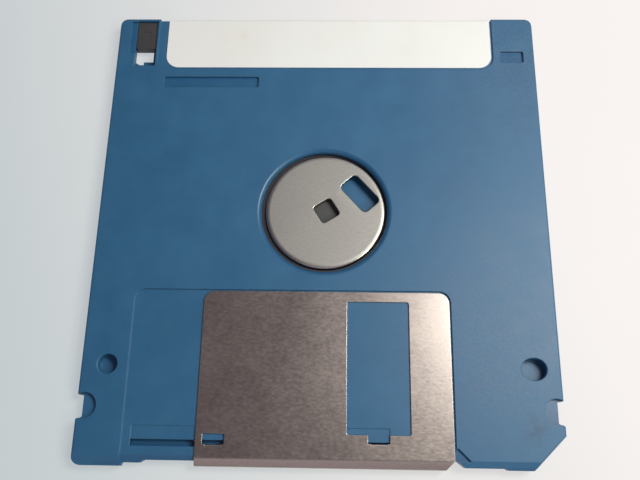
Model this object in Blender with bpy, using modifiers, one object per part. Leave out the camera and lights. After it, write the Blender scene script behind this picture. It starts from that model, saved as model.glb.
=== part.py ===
"""3.5-inch floppy disk, hub side up, modelled as it comes apart on a bench.

Metres, +Z up. The origin is the centre of the bottom face, which is the label side.
+X is to the right of the hub side, +Y points to the label end, and the shutter is at -Y.
"""
import math

import bmesh
import bpy
from mathutils import Matrix, Vector

# Magnetic disc, the round chamber that it turns in, and how far it lies off the middle in its play
DISC_RADIUS = 0.04275
DISC_HOLE_RADIUS = 0.0125
DISC_THICKNESS = 0.00008
DISC_CLEARANCE = 0.00085
DISC_FLOAT = 0.00075
CHAMBER_HEIGHT = 0.0013
CHAMBER_WALL = 0.0005

# Case: two moulded halves round the chamber
FACE_WALL = 0.0010
SIDE_WALL = 0.0014
LABEL_END_WALL = 0.0011
FRONT_RAIL = 0.0057
WELD_GAP = 0.00003
CORNER_RADIUS = 0.0016
CORNER_CUT = 0.0064
EDGE_ROUND = 0.0004
BEVEL_DEPTH = 0.0018
BEVEL_DROP = 0.0008
WELD_POST_RADIUS = 0.0006
WELD_POST_DEPTH = 0.0004
WELD_SOCKET_CLEARANCE = 0.00015
WELD_BOSS_WALL = 0.0009
WELD_POST_STEPS = 16
LABEL_POCKET_WIDTH = 0.0150
LABEL_POCKET_LENGTH = 0.0130
LABEL_POCKET_CORNER = 0.0010
FRONT_POCKET_FROM_PATH = 0.0030
FRONT_POCKET_LENGTH = 0.0119

# Weld posts, as (in from the side, in from the end) of the corner that each name gives
WELD_POST_LABEL_LEFT = (0.0115, 0.0070)
WELD_POST_LABEL_RIGHT = (0.0070, 0.0060)
WELD_POST_FRONT_RIGHT = (0.0115, 0.0060)
WELD_POST_FRONT_MIDDLE = (0.0270, 0.0030)
WELD_POST_FRONT_LEFT = (0.0325, 0.0025)

# Hub and its window
HUB_RADIUS = 0.01205
HUB_FLANGE_RADIUS = 0.0150
HUB_SHEET = 0.0003
HUB_RECESS = 0.0003
HUB_CORNER = 0.0007
HUB_WINDOW_CLEARANCE = 0.0006
HUB_WINDOW_SHIFT = 0.0005
HUB_WINDOW_RIM_WIDTH = 0.0009
HUB_WINDOW_RIM_DEPTH = 0.00035
FLANGE_CLEARANCE = 0.00019
SPINDLE_HOLE = 0.0040
SPINDLE_HOLE_TURN = math.radians(32)
SPINDLE_HOLE_CORNER = 0.0006
SPINDLE_HOLE_SHIFT = (0.0002, 0.0001)
DRIVE_SLOT_LENGTH = 0.0076
DRIVE_SLOT_WIDTH = 0.0042
DRIVE_SLOT_CORNER = 0.0009
DRIVE_SLOT_CENTRE = 0.0079
DRIVE_SLOT_BEARING = math.radians(29)
DRIVE_SLOT_TURN = math.radians(-48)
ADHESIVE_THICKNESS = 0.0001
ADHESIVE_INSET = 0.0002
LAYER_GAP = 0.00001

# Liners, the leaf under one of them, and the wear pad under the spindle hole
LINER_THICKNESS = 0.00025
LINER_GAP = 0.00003
LINER_EDGE_GAP = 0.0011
LINER_FLANGE_GAP = 0.0014
LINER_WINDOW_MARGIN = 0.0006
LIFTER_LENGTH = 0.0200
LIFTER_WIDTH = 0.0070
LIFTER_THICKNESS = 0.00012
LIFTER_POCKET = 0.00035
LIFTER_ARCH = 0.00014
LIFTER_MARGIN = 0.0004
LIFTER_FROM_HUB = 0.0260
PAD_RADIUS = 0.0055
PAD_THICKNESS = 0.00025
PAD_BOSS_HEIGHT = 0.0003

# Head window and shutter
HEAD_WINDOW_WIDTH = 0.0090
HEAD_WINDOW_INNER = 0.0184
HEAD_WINDOW_OUTER_WALL = 0.0014
HEAD_WINDOW_CORNER = 0.0006
SHUTTER_SHEET = 0.0002
SHUTTER_RECESS = 0.00033
SHUTTER_GAP = 0.00005
SHUTTER_WIDTH = 0.0472
SHUTTER_TRAVEL = 0.0133
SHUTTER_WINDOW_SHIFT = 0.0111
SHUTTER_RIGHT_BAR = 0.00775
SHUTTER_END_GAP = 0.0003
SHUTTER_OVERLAP = 0.0017
SHUTTER_CORNER = 0.0020
SHUTTER_FRONT_INSET = 0.0001
SHUTTER_WINDOW_WIDTH = 0.0118
SHUTTER_WINDOW_CORNER = 0.0004
SHUTTER_WINDOW_RIM = 0.0019
SHUTTER_FRONT_CUT = 0.0016
RECESS_CORNER = 0.0022
PATH_FRONT_GAP = 0.0008
PATH_SHOULDER_GAP = 0.0003
PATH_SHOULDER_WIDTH = 0.0040
SIDE_LIP_WIDTH = 0.0046
SIDE_LIP_RAMP = 0.0003
STEP_DEPTH = 0.0001
STEP_FROM_FRONT = 0.0072
CORNER_RELIEF = (0.0026, 0.0022)
CORNER_RELIEF_FLAT = 0.0004
CORNER_RELIEF_FROM_FRONT = 0.0017
CORNER_RELIEF_DEPTH = 0.0005

# Tabs bent inwards from the shutter, and the groove that they run in
TAB_WIDTH = 0.0030
TAB_CLEAR_WIDTH = 0.0040
TAB_NOTCH_DEPTH = 0.0015
TAB_HOLE_LENGTH = 0.0019
TAB_DROP = 0.00105
TAB_FROM_LEFT = 0.0033
TAB_FROM_FRONT = 0.0040
TAB_STAGGER = 0.0005
GROOVE_CLEARANCE = 0.00025
GROOVE_LEDGE_FROM_COIL = 0.0026

# Shutter spring: one coil between two straight legs, loose in the front left corner
SPRING_WIRE = 0.0004
SPRING_COIL_RADIUS = 0.0018
SPRING_BOW = 0.0038
SPRING_RISE = 0.0009
SPRING_CORNER_GAP = 0.0007
SPRING_TAB_GAP = 0.00015
SPRING_POCKET_CEILING = 0.0001
SPRING_POCKET_FLOOR = 0.0002
SPRING_POCKET_PAST_HOOK = 0.0048
SPRING_POCKET_WIDTH = 0.0147
FRONT_WALL = 0.0022

# Locating holes and handling notches
LOCATING_FROM_SIDE = 0.0050
LOCATING_FROM_FRONT = 0.0183
LOCATING_HOLE = 0.0036
LOCATING_SLOT_LENGTH = 0.0046
LOCATING_SLOT_WIDTH = 0.0040
LOCATING_SLOT_CORNER = 0.0019
LOCATING_HOLE_CHAMFER = 0.0002
LOCATING_BOSS_WALL = 0.0006
NOTCH_FROM_FRONT = 0.0086
NOTCH_LENGTH = 0.0040
NOTCH_DEPTH = 0.0010
NOTCH_SLANT = 0.0009
NOTCH_POCKET_DEPTH = 0.0037
NOTCH_POCKET_RADIUS = 0.0024
NOTCH_POCKET_DROP = 0.0009
NOTCH_WALL = 0.0010

# Write protect slider and its window
SLIDER_WIDTH = 0.0043
SLIDER_LENGTH = 0.0065
SLIDER_TRAVEL = 0.0043
SLIDER_CLEARANCE = 0.00015
SLIDER_FLANGE = 0.0003
SLIDER_FLANGE_TOP = 0.0002
SLIDER_LIFT = 0.00012
SLIDER_BELOW_FACE = 0.00045
SLIDER_FROM_SIDE = 0.0061
SLIDER_FROM_END = 0.0008
SLIDER_DIMPLE = 0.0022
SLIDER_DIMPLE_DEPTH = 0.00015
SLIDER_DIMPLE_CORNER = 0.0004
PROTECT_HOLE = 0.0041
PROTECT_HOLE_STEP = 0.0007
PROTECT_HOLE_LIFT = 0.00145
PROTECT_HOLE_CHAMFER = 0.0012
PROTECT_HOLE_SHIFT = 0.0008
PROTECT_SHELF_WIDTH = 0.0013
PROTECT_SHELF_DEPTH = 0.0005
PROTECT_SHELF_OVERRUN = 0.0013

# Label and shallow moulded recesses
LABEL_THICKNESS = 0.0001
LABEL_GAP = 0.00003
LABEL_WIDTH = 0.0700
LABEL_RIGHT_SHIFT = 0.0008
LABEL_CORNER = 0.0028
LABEL_BACK_LENGTH = 0.0121
LABEL_SHUTTER_GAP = 0.0074
LABEL_RECESS_DEPTH = 0.00025
LABEL_RECESS_MARGIN = 0.0004
LABEL_EDGE_ROUND = 0.0005
BAR_RECESS = (0.0204, 0.0025)
BAR_RECESS_CENTRE = (-0.0241, 0.0157)
BAR_RECESS_DEPTH = 0.0005
BLANK_RECESS = (0.0050, 0.0027)
BLANK_RECESS_INSET = (0.0049, 0.0095)
BLANK_RECESS_DEPTH = 0.0005
RECESS_PLATE_CORNER = 0.0004
ARROW_WIDTH = 0.0032
ARROW_HEIGHT = 0.0030
ARROW_DEPTH = 0.0002
ARROW_INSET = (0.0050, 0.0130)

# Facets and the overshoot of cutters past the faces that they open
ROUND_STEPS = 96
HUB_STEPS = 72
HOLE_STEPS = 32
ARC_STEP = math.radians(18)
PAST = 0.0005

# Derived frame of the case
chamber_radius = DISC_RADIUS + DISC_CLEARANCE
wall_radius = chamber_radius + CHAMBER_WALL
half_width = chamber_radius + SIDE_WALL
half_length = chamber_radius + (LABEL_END_WALL + FRONT_RAIL) / 2
hub_y = half_length - LABEL_END_WALL - chamber_radius
top = CHAMBER_HEIGHT + 2 * FACE_WALL
middle = top / 2
chamber_floor = FACE_WALL
chamber_ceiling = top - FACE_WALL
front = -half_length

# Derived places of the shutter and its path
window_outer_y = hub_y - chamber_radius + HEAD_WINDOW_OUTER_WALL
window_inner_y = hub_y - HEAD_WINDOW_INNER
shutter_top_y = window_inner_y + SHUTTER_OVERLAP
shutter_front_y = front + SHUTTER_FRONT_INSET
shutter_window_x = SHUTTER_WINDOW_SHIFT
shutter_right = shutter_window_x + SHUTTER_WINDOW_WIDTH / 2 + SHUTTER_RIGHT_BAR
shutter_left = shutter_right - SHUTTER_WIDTH
recess_left = shutter_left - SHUTTER_TRAVEL - SHUTTER_END_GAP
recess_right = shutter_right + SHUTTER_END_GAP
bevel_slope = BEVEL_DROP / BEVEL_DEPTH
tab_y = front + TAB_FROM_FRONT
groove_low = tab_y - SHUTTER_SHEET - GROOVE_CLEARANCE
groove_high = tab_y + TAB_STAGGER + GROOVE_CLEARANCE
groove_left = shutter_left + TAB_FROM_LEFT - TAB_WIDTH / 2 - SHUTTER_TRAVEL - 2 * GROOVE_CLEARANCE

# Derived places of the spring's two ends and its coil
spring_anchor = Vector((-half_width + SIDE_WALL + SPRING_CORNER_GAP, front + FRONT_WALL + SPRING_CORNER_GAP))
hook_from_left = TAB_FROM_LEFT - TAB_WIDTH / 2 - SPRING_WIRE / 2 - SPRING_TAB_GAP
spring_hook = Vector((shutter_left + hook_from_left, tab_y - SHUTTER_SHEET / 2))
spring_chord = spring_hook - spring_anchor
spring_coil = (spring_anchor + spring_hook) / 2 + SPRING_BOW * Vector((-spring_chord.y, spring_chord.x)).normalized()

# Derived places of the locating holes and the handling notches
locating_x = half_width - LOCATING_FROM_SIDE
locating_y = front + LOCATING_FROM_FRONT
notch_low = front + NOTCH_FROM_FRONT

# Derived lower edges of the label's two leaves
label_back_y = half_length - LABEL_BACK_LENGTH
label_front_y = shutter_top_y + LABEL_SHUTTER_GAP

# Derived places of the slider
slider_x = -half_width + SLIDER_FROM_SIDE
slider_end_y = half_length - SLIDER_FROM_END
slider_low_y = slider_end_y - SLIDER_LENGTH
protect_stop_y = slider_low_y - SLIDER_TRAVEL - SLIDER_CLEARANCE

# Places of the posts that weld the halves together
weld_posts = {
    "label_left": (-half_width + WELD_POST_LABEL_LEFT[0], half_length - WELD_POST_LABEL_LEFT[1]),
    "label_right": (half_width - WELD_POST_LABEL_RIGHT[0], half_length - WELD_POST_LABEL_RIGHT[1]),
    "front_right": (half_width - WELD_POST_FRONT_RIGHT[0], front + WELD_POST_FRONT_RIGHT[1]),
    "front_middle": (half_width - WELD_POST_FRONT_MIDDLE[0], front + WELD_POST_FRONT_MIDDLE[1]),
    "front_left": (-half_width + WELD_POST_FRONT_LEFT[0], front + WELD_POST_FRONT_LEFT[1]),
}

COLOURS = {
    "blue_plastic": ((0.030, 0.105, 0.235), 0.42, 0.0),
    "steel_sheet": ((0.48, 0.45, 0.42), 0.38, 1.0),
    "hub_steel": ((0.55, 0.53, 0.50), 0.33, 1.0),
    "spring_steel": ((0.40, 0.40, 0.41), 0.30, 1.0),
    "black_plastic": ((0.025, 0.025, 0.027), 0.45, 0.0),
    "magnetic_film": ((0.045, 0.030, 0.022), 0.28, 0.0),
    "liner_fleece": ((0.72, 0.72, 0.70), 0.95, 0.0),
    "grey_plastic": ((0.10, 0.10, 0.10), 0.55, 0.0),
    "clear_leaf": ((0.55, 0.57, 0.58), 0.35, 0.0),
    "adhesive": ((0.35, 0.30, 0.20), 0.70, 0.0),
    "label_paper": ((0.80, 0.79, 0.75), 0.80, 0.0),
}

for old in list(bpy.data.objects):
    bpy.data.objects.remove(old, do_unlink=True)

parts = bpy.data.collections.new("floppy_disk")
cutters = bpy.data.collections.new("cutters")
bpy.context.scene.collection.children.link(parts)
bpy.context.scene.collection.children.link(cutters)


def material(name):
    """Principled material with the colour, roughness and metallic value of one finish."""
    found = bpy.data.materials.get(name)
    if found:
        return found
    colour, roughness, metallic = COLOURS[name]
    made = bpy.data.materials.new(name)
    made.use_nodes = True
    shader = made.node_tree.nodes["Principled BSDF"]
    shader.inputs["Base Color"].default_value = (*colour, 1.0)
    shader.inputs["Roughness"].default_value = roughness
    shader.inputs["Metallic"].default_value = metallic
    return made


def add(name, mesh):
    """Object on a mesh, kept among the cutters until piece() claims it."""
    made = bpy.data.objects.new(name, mesh)
    cutters.objects.link(made)
    made.hide_render = True
    made.display_type = "WIRE"
    return made


def piece(made, finish, parent=None):
    """Turns a solid into a piece of the product, with its material and its parent."""
    cutters.objects.unlink(made)
    parts.objects.link(made)
    made.hide_render = False
    made.display_type = "TEXTURED"
    made.data.materials.clear()
    made.data.materials.append(material(finish))
    made.data.shade_smooth()
    made.data.set_sharp_from_angle(angle=math.radians(30))
    if parent:
        made.parent = parent
        made.location = -parent.location
    return made


def travel_empty(name, location):
    """Empty on a joint's axis, which carries the pieces that move with the joint."""
    made = bpy.data.objects.new(name, None)
    made.location = location
    made.empty_display_size = 0.005
    parts.objects.link(made)
    return made


def change(target, tool, operation):
    """Boolean of a tool solid on a target solid."""
    modifier = target.modifiers.new(tool.name, "BOOLEAN")
    modifier.operation = operation
    modifier.solver = "EXACT"
    modifier.object = tool


def cut(target, *tools):
    for tool in tools:
        change(target, tool, "DIFFERENCE")


def join(target, *tools):
    for tool in tools:
        change(target, tool, "UNION")


def box(name, x, y, z):
    """Block between two values on each axis."""
    mesh = bpy.data.meshes.new(name)
    work = bmesh.new()
    bmesh.ops.create_cube(work, size=1)
    size = Matrix.Diagonal((x[1] - x[0], y[1] - y[0], z[1] - z[0], 1))
    centre = Vector(((x[0] + x[1]) / 2, (y[0] + y[1]) / 2, (z[0] + z[1]) / 2))
    bmesh.ops.transform(work, matrix=Matrix.Translation(centre) @ size, verts=work.verts)
    work.to_mesh(mesh)
    work.free()
    return add(name, mesh)


def rod(name, centre, radius, z, steps=HOLE_STEPS, top_radius=None):
    """Upright round solid, or a cone where the top radius differs."""
    mesh = bpy.data.meshes.new(name)
    work = bmesh.new()
    bmesh.ops.create_cone(
        work,
        cap_ends=True,
        segments=steps,
        radius1=radius,
        radius2=radius if top_radius is None else top_radius,
        depth=z[1] - z[0],
    )
    place = Matrix.Translation((centre[0], centre[1], (z[0] + z[1]) / 2))
    bmesh.ops.transform(work, matrix=place, verts=work.verts)
    work.to_mesh(mesh)
    work.free()
    return add(name, mesh)


def turned(name, centre, profile, steps):
    """Solid of revolution from (radius, height) points that run down the outer side."""
    mesh = bpy.data.meshes.new(name)
    mesh.from_pydata([(r, 0, z) for r, z in profile], [(i, i + 1) for i in range(len(profile) - 1)], [])
    made = add(name, mesh)
    made.location = (centre[0], centre[1], 0)
    screw = made.modifiers.new("turn", "SCREW")
    screw.steps = steps
    screw.render_steps = steps
    screw.use_merge_vertices = True
    screw.merge_threshold = 0.00001
    return made


def circle(centre, radius, steps=ROUND_STEPS):
    """Points round a circle, at the same bearings as rod() gives."""
    turns = [2 * math.pi * i / steps for i in range(steps)]
    return [(centre[0] + radius * math.sin(a), centre[1] + radius * math.cos(a)) for a in turns]


def rounded(corners):
    """Outline through (x, y, radius) corners, with an arc at each one that has a radius."""
    points = []
    for i, (x, y, radius) in enumerate(corners):
        here = Vector((x, y))
        if radius <= 0:
            points.append((x, y))
            continue
        back = (Vector(corners[i - 1][:2]) - here).normalized()
        ahead = (Vector(corners[(i + 1) % len(corners)][:2]) - here).normalized()
        half = back.angle(ahead) / 2
        centre = here + (back + ahead).normalized() * radius / math.sin(half)
        start = here + back * radius / math.tan(half) - centre
        sweep = math.pi - 2 * half
        if back.x * ahead.y - back.y * ahead.x > 0:
            sweep = -sweep
        steps = max(1, round(abs(sweep) / ARC_STEP))
        for k in range(steps + 1):
            spoke = start.copy()
            spoke.rotate(Matrix.Rotation(sweep * k / steps, 2))
            points.append(tuple(centre + spoke))
    return points


def rectangle(centre, size, radius=0.0):
    """Rounded rectangle about a centre."""
    x, y = size[0] / 2, size[1] / 2
    corners = [(-x, -y), (x, -y), (x, y), (-x, y)]
    return rounded([(centre[0] + a, centre[1] + b, radius) for a, b in corners])


def mesh_of_curve(made):
    """Replaces a curve object by its welded mesh and returns the mesh object."""
    bpy.context.view_layer.update()
    graph = bpy.context.evaluated_depsgraph_get()
    mesh = bpy.data.meshes.new_from_object(made.evaluated_get(graph))
    work = bmesh.new()
    work.from_mesh(mesh)
    bmesh.ops.remove_doubles(work, verts=work.verts, dist=0.000001)
    bmesh.ops.recalc_face_normals(work, faces=work.faces)
    work.to_mesh(mesh)
    work.free()
    mesh.transform(made.matrix_world)
    name = made.name
    bpy.data.objects.remove(made)
    return add(name, mesh)


def plate(name, loops, z):
    """Flat solid between two heights from an outline and its holes."""
    curve = bpy.data.curves.new(name, "CURVE")
    curve.dimensions = "2D"
    curve.fill_mode = "BOTH"
    curve.extrude = (z[1] - z[0]) / 2
    for loop in loops:
        spline = curve.splines.new("POLY")
        spline.points.add(len(loop) - 1)
        for point, (x, y) in zip(spline.points, loop):
            point.co = (x, y, 0, 1)
        spline.use_cyclic_u = True
    made = bpy.data.objects.new(name, curve)
    made.location.z = (z[0] + z[1]) / 2
    cutters.objects.link(made)
    return mesh_of_curve(made)


def bar(name, profile, x):
    """Solid with one (y, z) profile along X."""
    made = plate(name, [profile], x)
    made.data.transform(Matrix(((0, 0, 1, 0), (1, 0, 0, 0), (0, 1, 0, 0), (0, 0, 0, 1))))
    return made


def corner_cutter(name, corner, signs, radius, z):
    """Sheet corner's waste: a square less the rounded corner. Signs point off the sheet."""
    x, y = corner
    across, along = signs
    inner = (x - across * radius, y - along * radius)
    steps = 5
    arc = []
    for k in range(steps + 1):
        a = math.pi / 2 * k / steps
        arc.append((inner[0] + across * radius * math.cos(a), inner[1] + along * radius * math.sin(a)))
    beyond = [
        (inner[0], y + along * PAST),
        (x + across * PAST, y + along * PAST),
        (x + across * PAST, inner[1]),
    ]
    return plate(name, [arc + beyond], z)


def round_outer_edge(made, height):
    """Rounds the edge where the outline meets the outer face at one height."""
    work = bmesh.new()
    work.from_mesh(made.data)
    bmesh.ops.dissolve_limit(work, angle_limit=0.001, verts=work.verts, edges=work.edges)
    rim = []
    for edge in work.edges:
        level = all(abs(v.co.z - height) < 0.000001 for v in edge.verts)
        upright = any(abs(f.normal.z) < 0.5 for f in edge.link_faces)
        if level and upright:
            rim.append(edge)
    bmesh.ops.bevel(work, geom=rim, offset=EDGE_ROUND, segments=2, profile=0.5, affect="EDGES")
    bmesh.ops.triangulate(work, faces=work.faces)
    work.to_mesh(made.data)
    work.free()


def case_outline():
    """Plan of the case, with the cut corner at the front right."""
    return rounded([
        (-half_width, front, CORNER_RADIUS),
        (half_width - CORNER_CUT, front, 0),
        (half_width, front + CORNER_CUT, 0),
        (half_width, half_length, CORNER_RADIUS),
        (-half_width, half_length, CORNER_RADIUS),
    ])


def front_setback(name, z):
    """Waste in front of the case: the shutter's path and the stepped edge beside it."""
    path = shutter_front_y + SHUTTER_SHEET
    sweep_left = shutter_left - SHUTTER_TRAVEL
    path_y = path + PATH_FRONT_GAP
    shoulder_y = path + PATH_SHOULDER_GAP
    step_y = path_y + SHUTTER_FRONT_CUT / 2
    corner_x = half_width - CORNER_CUT
    lip_x = corner_x - SIDE_LIP_WIDTH
    points = [
        (recess_left, front - PAST),
        (recess_left, front),
        (recess_left + PATH_SHOULDER_GAP, shoulder_y),
        (sweep_left + PATH_SHOULDER_WIDTH - PATH_FRONT_GAP, shoulder_y),
        (sweep_left + PATH_SHOULDER_WIDTH, path_y),
        (shutter_right - SHUTTER_FRONT_CUT, path_y),
        (shutter_right - SHUTTER_SHEET, step_y),
        (recess_right, step_y),
        (recess_right + SHUTTER_FRONT_CUT, shoulder_y),
        (lip_x, shoulder_y),
        (lip_x + SIDE_LIP_RAMP, front + PATH_SHOULDER_GAP),
        (corner_x + PAST, front + PATH_SHOULDER_GAP),
        (corner_x + PAST, front - PAST),
    ]
    return plate(name, [points], z)


def bevel_wedge(name, x, face, lift, side):
    """Waste above the slanted front edge. The lift lowers it for the shutter's path."""
    start = front + BEVEL_DEPTH + lift
    end = front - PAST
    level = face - side * lift
    drop = bevel_slope * (start - end)
    above = level + side * PAST
    profile = [(start, level), (end, level - side * drop), (end, above), (start, above)]
    return bar(name, profile, x)


def notch_waste(name, hand, z):
    """Waste of a handling notch in one side of the case."""
    outside = hand * (half_width + PAST)
    inside = hand * (half_width - NOTCH_DEPTH)
    points = [
        (outside, notch_low - NOTCH_SLANT),
        (inside, notch_low),
        (inside, notch_low + NOTCH_LENGTH),
        (outside, notch_low + NOTCH_LENGTH),
    ]
    return plate(name, [points], z)


def notch_pocket(name, hand, z):
    """Round finger pocket behind a handling notch, in the hub side face only."""
    centre_x = hand * (half_width - NOTCH_POCKET_DEPTH + NOTCH_POCKET_RADIUS)
    return rod(name, (centre_x, notch_low + NOTCH_LENGTH / 2), NOTCH_POCKET_RADIUS, z, HOLE_STEPS)


def spring_pocket(name, z):
    """Room for the spring, less the chamber wall, the notch wall and the locating boss."""
    left = -half_width + SIDE_WALL
    low = front + FRONT_WALL
    pocket = box(name, (left, spring_hook.x + SPRING_POCKET_PAST_HOOK), (low, low + SPRING_POCKET_WIDTH), z)
    tall = (z[0] - PAST, z[1] + PAST)
    ring = rod(name + "_ring", (0, hub_y), wall_radius, tall, ROUND_STEPS)
    block_right = -half_width + NOTCH_POCKET_DEPTH + NOTCH_WALL
    block_low = notch_low - NOTCH_SLANT - NOTCH_WALL
    block_high = notch_low + NOTCH_LENGTH + NOTCH_WALL
    block = box(name + "_block", (left - PAST, block_right), (block_low, block_high), tall)
    boss_radius = LOCATING_HOLE / 2 + LOCATING_BOSS_WALL
    boss = rod(name + "_boss", (-locating_x, locating_y), boss_radius, tall)
    cut(pocket, ring, block, boss)
    return pocket


def corner_pocket(name, loop, z, bosses):
    """Hollow outside the chamber wall, with solid bosses left for the weld posts."""
    pocket = plate(name, [loop], z)
    tall = (z[0] - PAST, z[1] + PAST)
    cut(pocket, rod(name + "_ring", (0, hub_y), wall_radius, tall, ROUND_STEPS))
    for i, centre in enumerate(bosses):
        radius = WELD_POST_RADIUS + WELD_BOSS_WALL
        cut(pocket, rod(f"{name}_boss_{i}", centre, radius, tall))
    return pocket


def half_shell(name, z, face, side):
    """One moulded half: outer form, chamber, corner hollows and shutter path."""
    shell = plate(name, [case_outline()], z)
    round_outer_edge(shell, face)
    open_z = (z[0] - PAST, z[1] + PAST)
    inner_face = chamber_ceiling if side > 0 else chamber_floor
    hollow = (middle - PAST, inner_face) if side > 0 else (inner_face, middle + PAST)
    recess_floor = face - side * SHUTTER_RECESS
    skin = tuple(sorted((recess_floor, face + side * PAST)))

    window_length = window_inner_y - window_outer_y
    window_middle = (0, (window_inner_y + window_outer_y) / 2)
    window = rectangle(window_middle, (HEAD_WINDOW_WIDTH, window_length), HEAD_WINDOW_CORNER)
    cut(shell, plate(name + "_head_window", [window], open_z))
    cut(shell, bevel_wedge(name + "_bevel", (-half_width - PAST, half_width + PAST), face, 0, side))
    cut(shell, bevel_wedge(name + "_path_bevel", (recess_left, recess_right), face, SHUTTER_RECESS, side))
    recess = rounded([
        (recess_left, front - PAST, 0),
        (recess_right, front - PAST, 0),
        (recess_right, shutter_top_y + SHUTTER_END_GAP, RECESS_CORNER),
        (recess_left, shutter_top_y + SHUTTER_END_GAP, RECESS_CORNER),
    ])
    cut(shell, plate(name + "_recess", [recess], skin))
    cut(shell, front_setback(name + "_setback", open_z))
    cut(shell, notch_waste(name + "_notch_left", -1, open_z))
    cut(shell, notch_waste(name + "_notch_right", 1, open_z))

    side_x = half_width - SIDE_WALL
    end_y = half_length - LABEL_END_WALL
    front_y = front + FRONT_WALL
    label_right = rounded([
        (side_x - LABEL_POCKET_WIDTH, end_y, 0),
        (side_x - LABEL_POCKET_WIDTH, end_y - LABEL_POCKET_LENGTH, 0),
        (side_x, end_y - LABEL_POCKET_LENGTH, LABEL_POCKET_CORNER),
        (side_x, end_y, LABEL_POCKET_CORNER),
    ])
    cut(shell, corner_pocket(name + "_label_right", label_right, hollow, [weld_posts["label_right"]]))
    start_x = recess_right + FRONT_POCKET_FROM_PATH
    slant_x = half_width - CORNER_CUT + FRONT_WALL - math.sqrt(2) * FRONT_WALL
    wall_x = half_width - NOTCH_POCKET_DEPTH - NOTCH_WALL
    front_right = [
        (start_x, front_y),
        (slant_x, front_y),
        (wall_x, front_y + wall_x - slant_x),
        (wall_x, front_y + FRONT_POCKET_LENGTH),
        (start_x, front_y + FRONT_POCKET_LENGTH),
    ]
    cut(shell, corner_pocket(name + "_front_right", front_right, hollow, [weld_posts["front_right"]]))
    return shell, hollow


def slider_channel(name, z):
    """Room for the slider's flange along its whole travel."""
    half = SLIDER_WIDTH / 2 + SLIDER_FLANGE + SLIDER_CLEARANCE
    y = (protect_stop_y, slider_end_y + SLIDER_CLEARANCE)
    return box(name, (slider_x - half, slider_x + half), y, z)


def locating_holes(name, z):
    """Waste of the round locating hole on the left and the slotted one on the right."""
    size = (LOCATING_SLOT_LENGTH, LOCATING_SLOT_WIDTH)
    slot = rectangle((locating_x, locating_y), size, LOCATING_SLOT_CORNER)
    left = rod(name + "_hole", (-locating_x, locating_y), LOCATING_HOLE / 2, z)
    return left, plate(name + "_slot", [slot], z)


def locating_rims():
    """Cones that break the upper edges of both locating holes."""
    made = []
    z = (top - LOCATING_HOLE_CHAMFER, top + LOCATING_HOLE_CHAMFER)
    slot = (LOCATING_SLOT_LENGTH, LOCATING_SLOT_WIDTH)
    for hand, (length, width) in ((-1, (LOCATING_HOLE, LOCATING_HOLE)), (1, slot)):
        radius = length / 2
        outer = radius + 2 * LOCATING_HOLE_CHAMFER
        rim = rod(f"locating_rim_{hand}", (0, 0), radius, z, HOLE_STEPS, outer)
        rim.data.transform(Matrix.Diagonal((1, width / length, 1, 1)))
        rim.location = (hand * locating_x, locating_y, 0)
        made.append(rim)
    return made


def label_side_shell():
    shell, hollow = half_shell("label_side_shell", (0, middle - WELD_GAP / 2), 0, -1)
    chamber = rod("label_chamber", (0, hub_y), chamber_radius, hollow, ROUND_STEPS)
    cut(chamber, rod("label_pad_boss", (0, hub_y), PAD_RADIUS, (0, chamber_floor + PAD_BOSS_HEIGHT)))
    cut(shell, chamber)
    pocket = spring_pocket("label_spring_pocket", (chamber_floor - SPRING_POCKET_FLOOR, hollow[1]))
    ledge_x = (spring_coil.x - GROOVE_LEDGE_FROM_COIL, recess_right)
    cut(pocket, box("groove_ledge", ledge_x, (front, groove_high + GROOVE_CLEARANCE), (0, top)))
    cut(shell, pocket)
    cut(shell, slider_channel("label_slider_channel", hollow))

    lifter_half = (LIFTER_WIDTH / 2 + LIFTER_MARGIN, LIFTER_LENGTH / 2 + LIFTER_MARGIN)
    lifter_x = (-LIFTER_FROM_HUB - lifter_half[0], -LIFTER_FROM_HUB + lifter_half[0])
    lifter_y = (hub_y - lifter_half[1], hub_y + lifter_half[1])
    cut(shell, box("lifter_pocket", lifter_x, lifter_y, (chamber_floor - LIFTER_POCKET, hollow[1])))

    socket_radius = WELD_POST_RADIUS + WELD_SOCKET_CLEARANCE
    socket_z = (middle - WELD_POST_DEPTH - WELD_SOCKET_CLEARANCE, middle + PAST)
    for key, centre in weld_posts.items():
        cut(shell, rod("weld_socket_" + key, centre, socket_radius, socket_z, WELD_POST_STEPS))
    cut(shell, *locating_holes("label_locating", hollow))

    hole_x = slider_x - PROTECT_HOLE_SHIFT
    hole_left = hole_x - PROTECT_HOLE / 2
    hole_right = hole_x + PROTECT_HOLE / 2
    hole_low = protect_stop_y + PROTECT_HOLE_LIFT
    hole = [
        (hole_left, hole_low + PROTECT_HOLE_STEP),
        (hole_left + PROTECT_HOLE_CHAMFER, hole_low),
        (hole_x, hole_low),
        (hole_x, hole_low + PROTECT_HOLE_STEP),
        (hole_right, hole_low + PROTECT_HOLE_STEP),
        (hole_right, hole_low + PROTECT_HOLE),
        (hole_left, hole_low + PROTECT_HOLE),
    ]
    cut(shell, plate("protect_hole", [hole], (-PAST, hollow[1])))

    cut(shell, *label_recess("label_front", label_front_y, 0, -1))
    arrow_x = half_width - ARROW_INSET[0]
    arrow_y = front + ARROW_INSET[1]
    arrow = [
        (arrow_x - ARROW_WIDTH / 2, arrow_y + ARROW_HEIGHT),
        (arrow_x, arrow_y),
        (arrow_x + ARROW_WIDTH / 2, arrow_y + ARROW_HEIGHT),
    ]
    cut(shell, plate("arrow", [arrow], (-PAST, ARROW_DEPTH)))
    return piece(shell, "blue_plastic")


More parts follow.
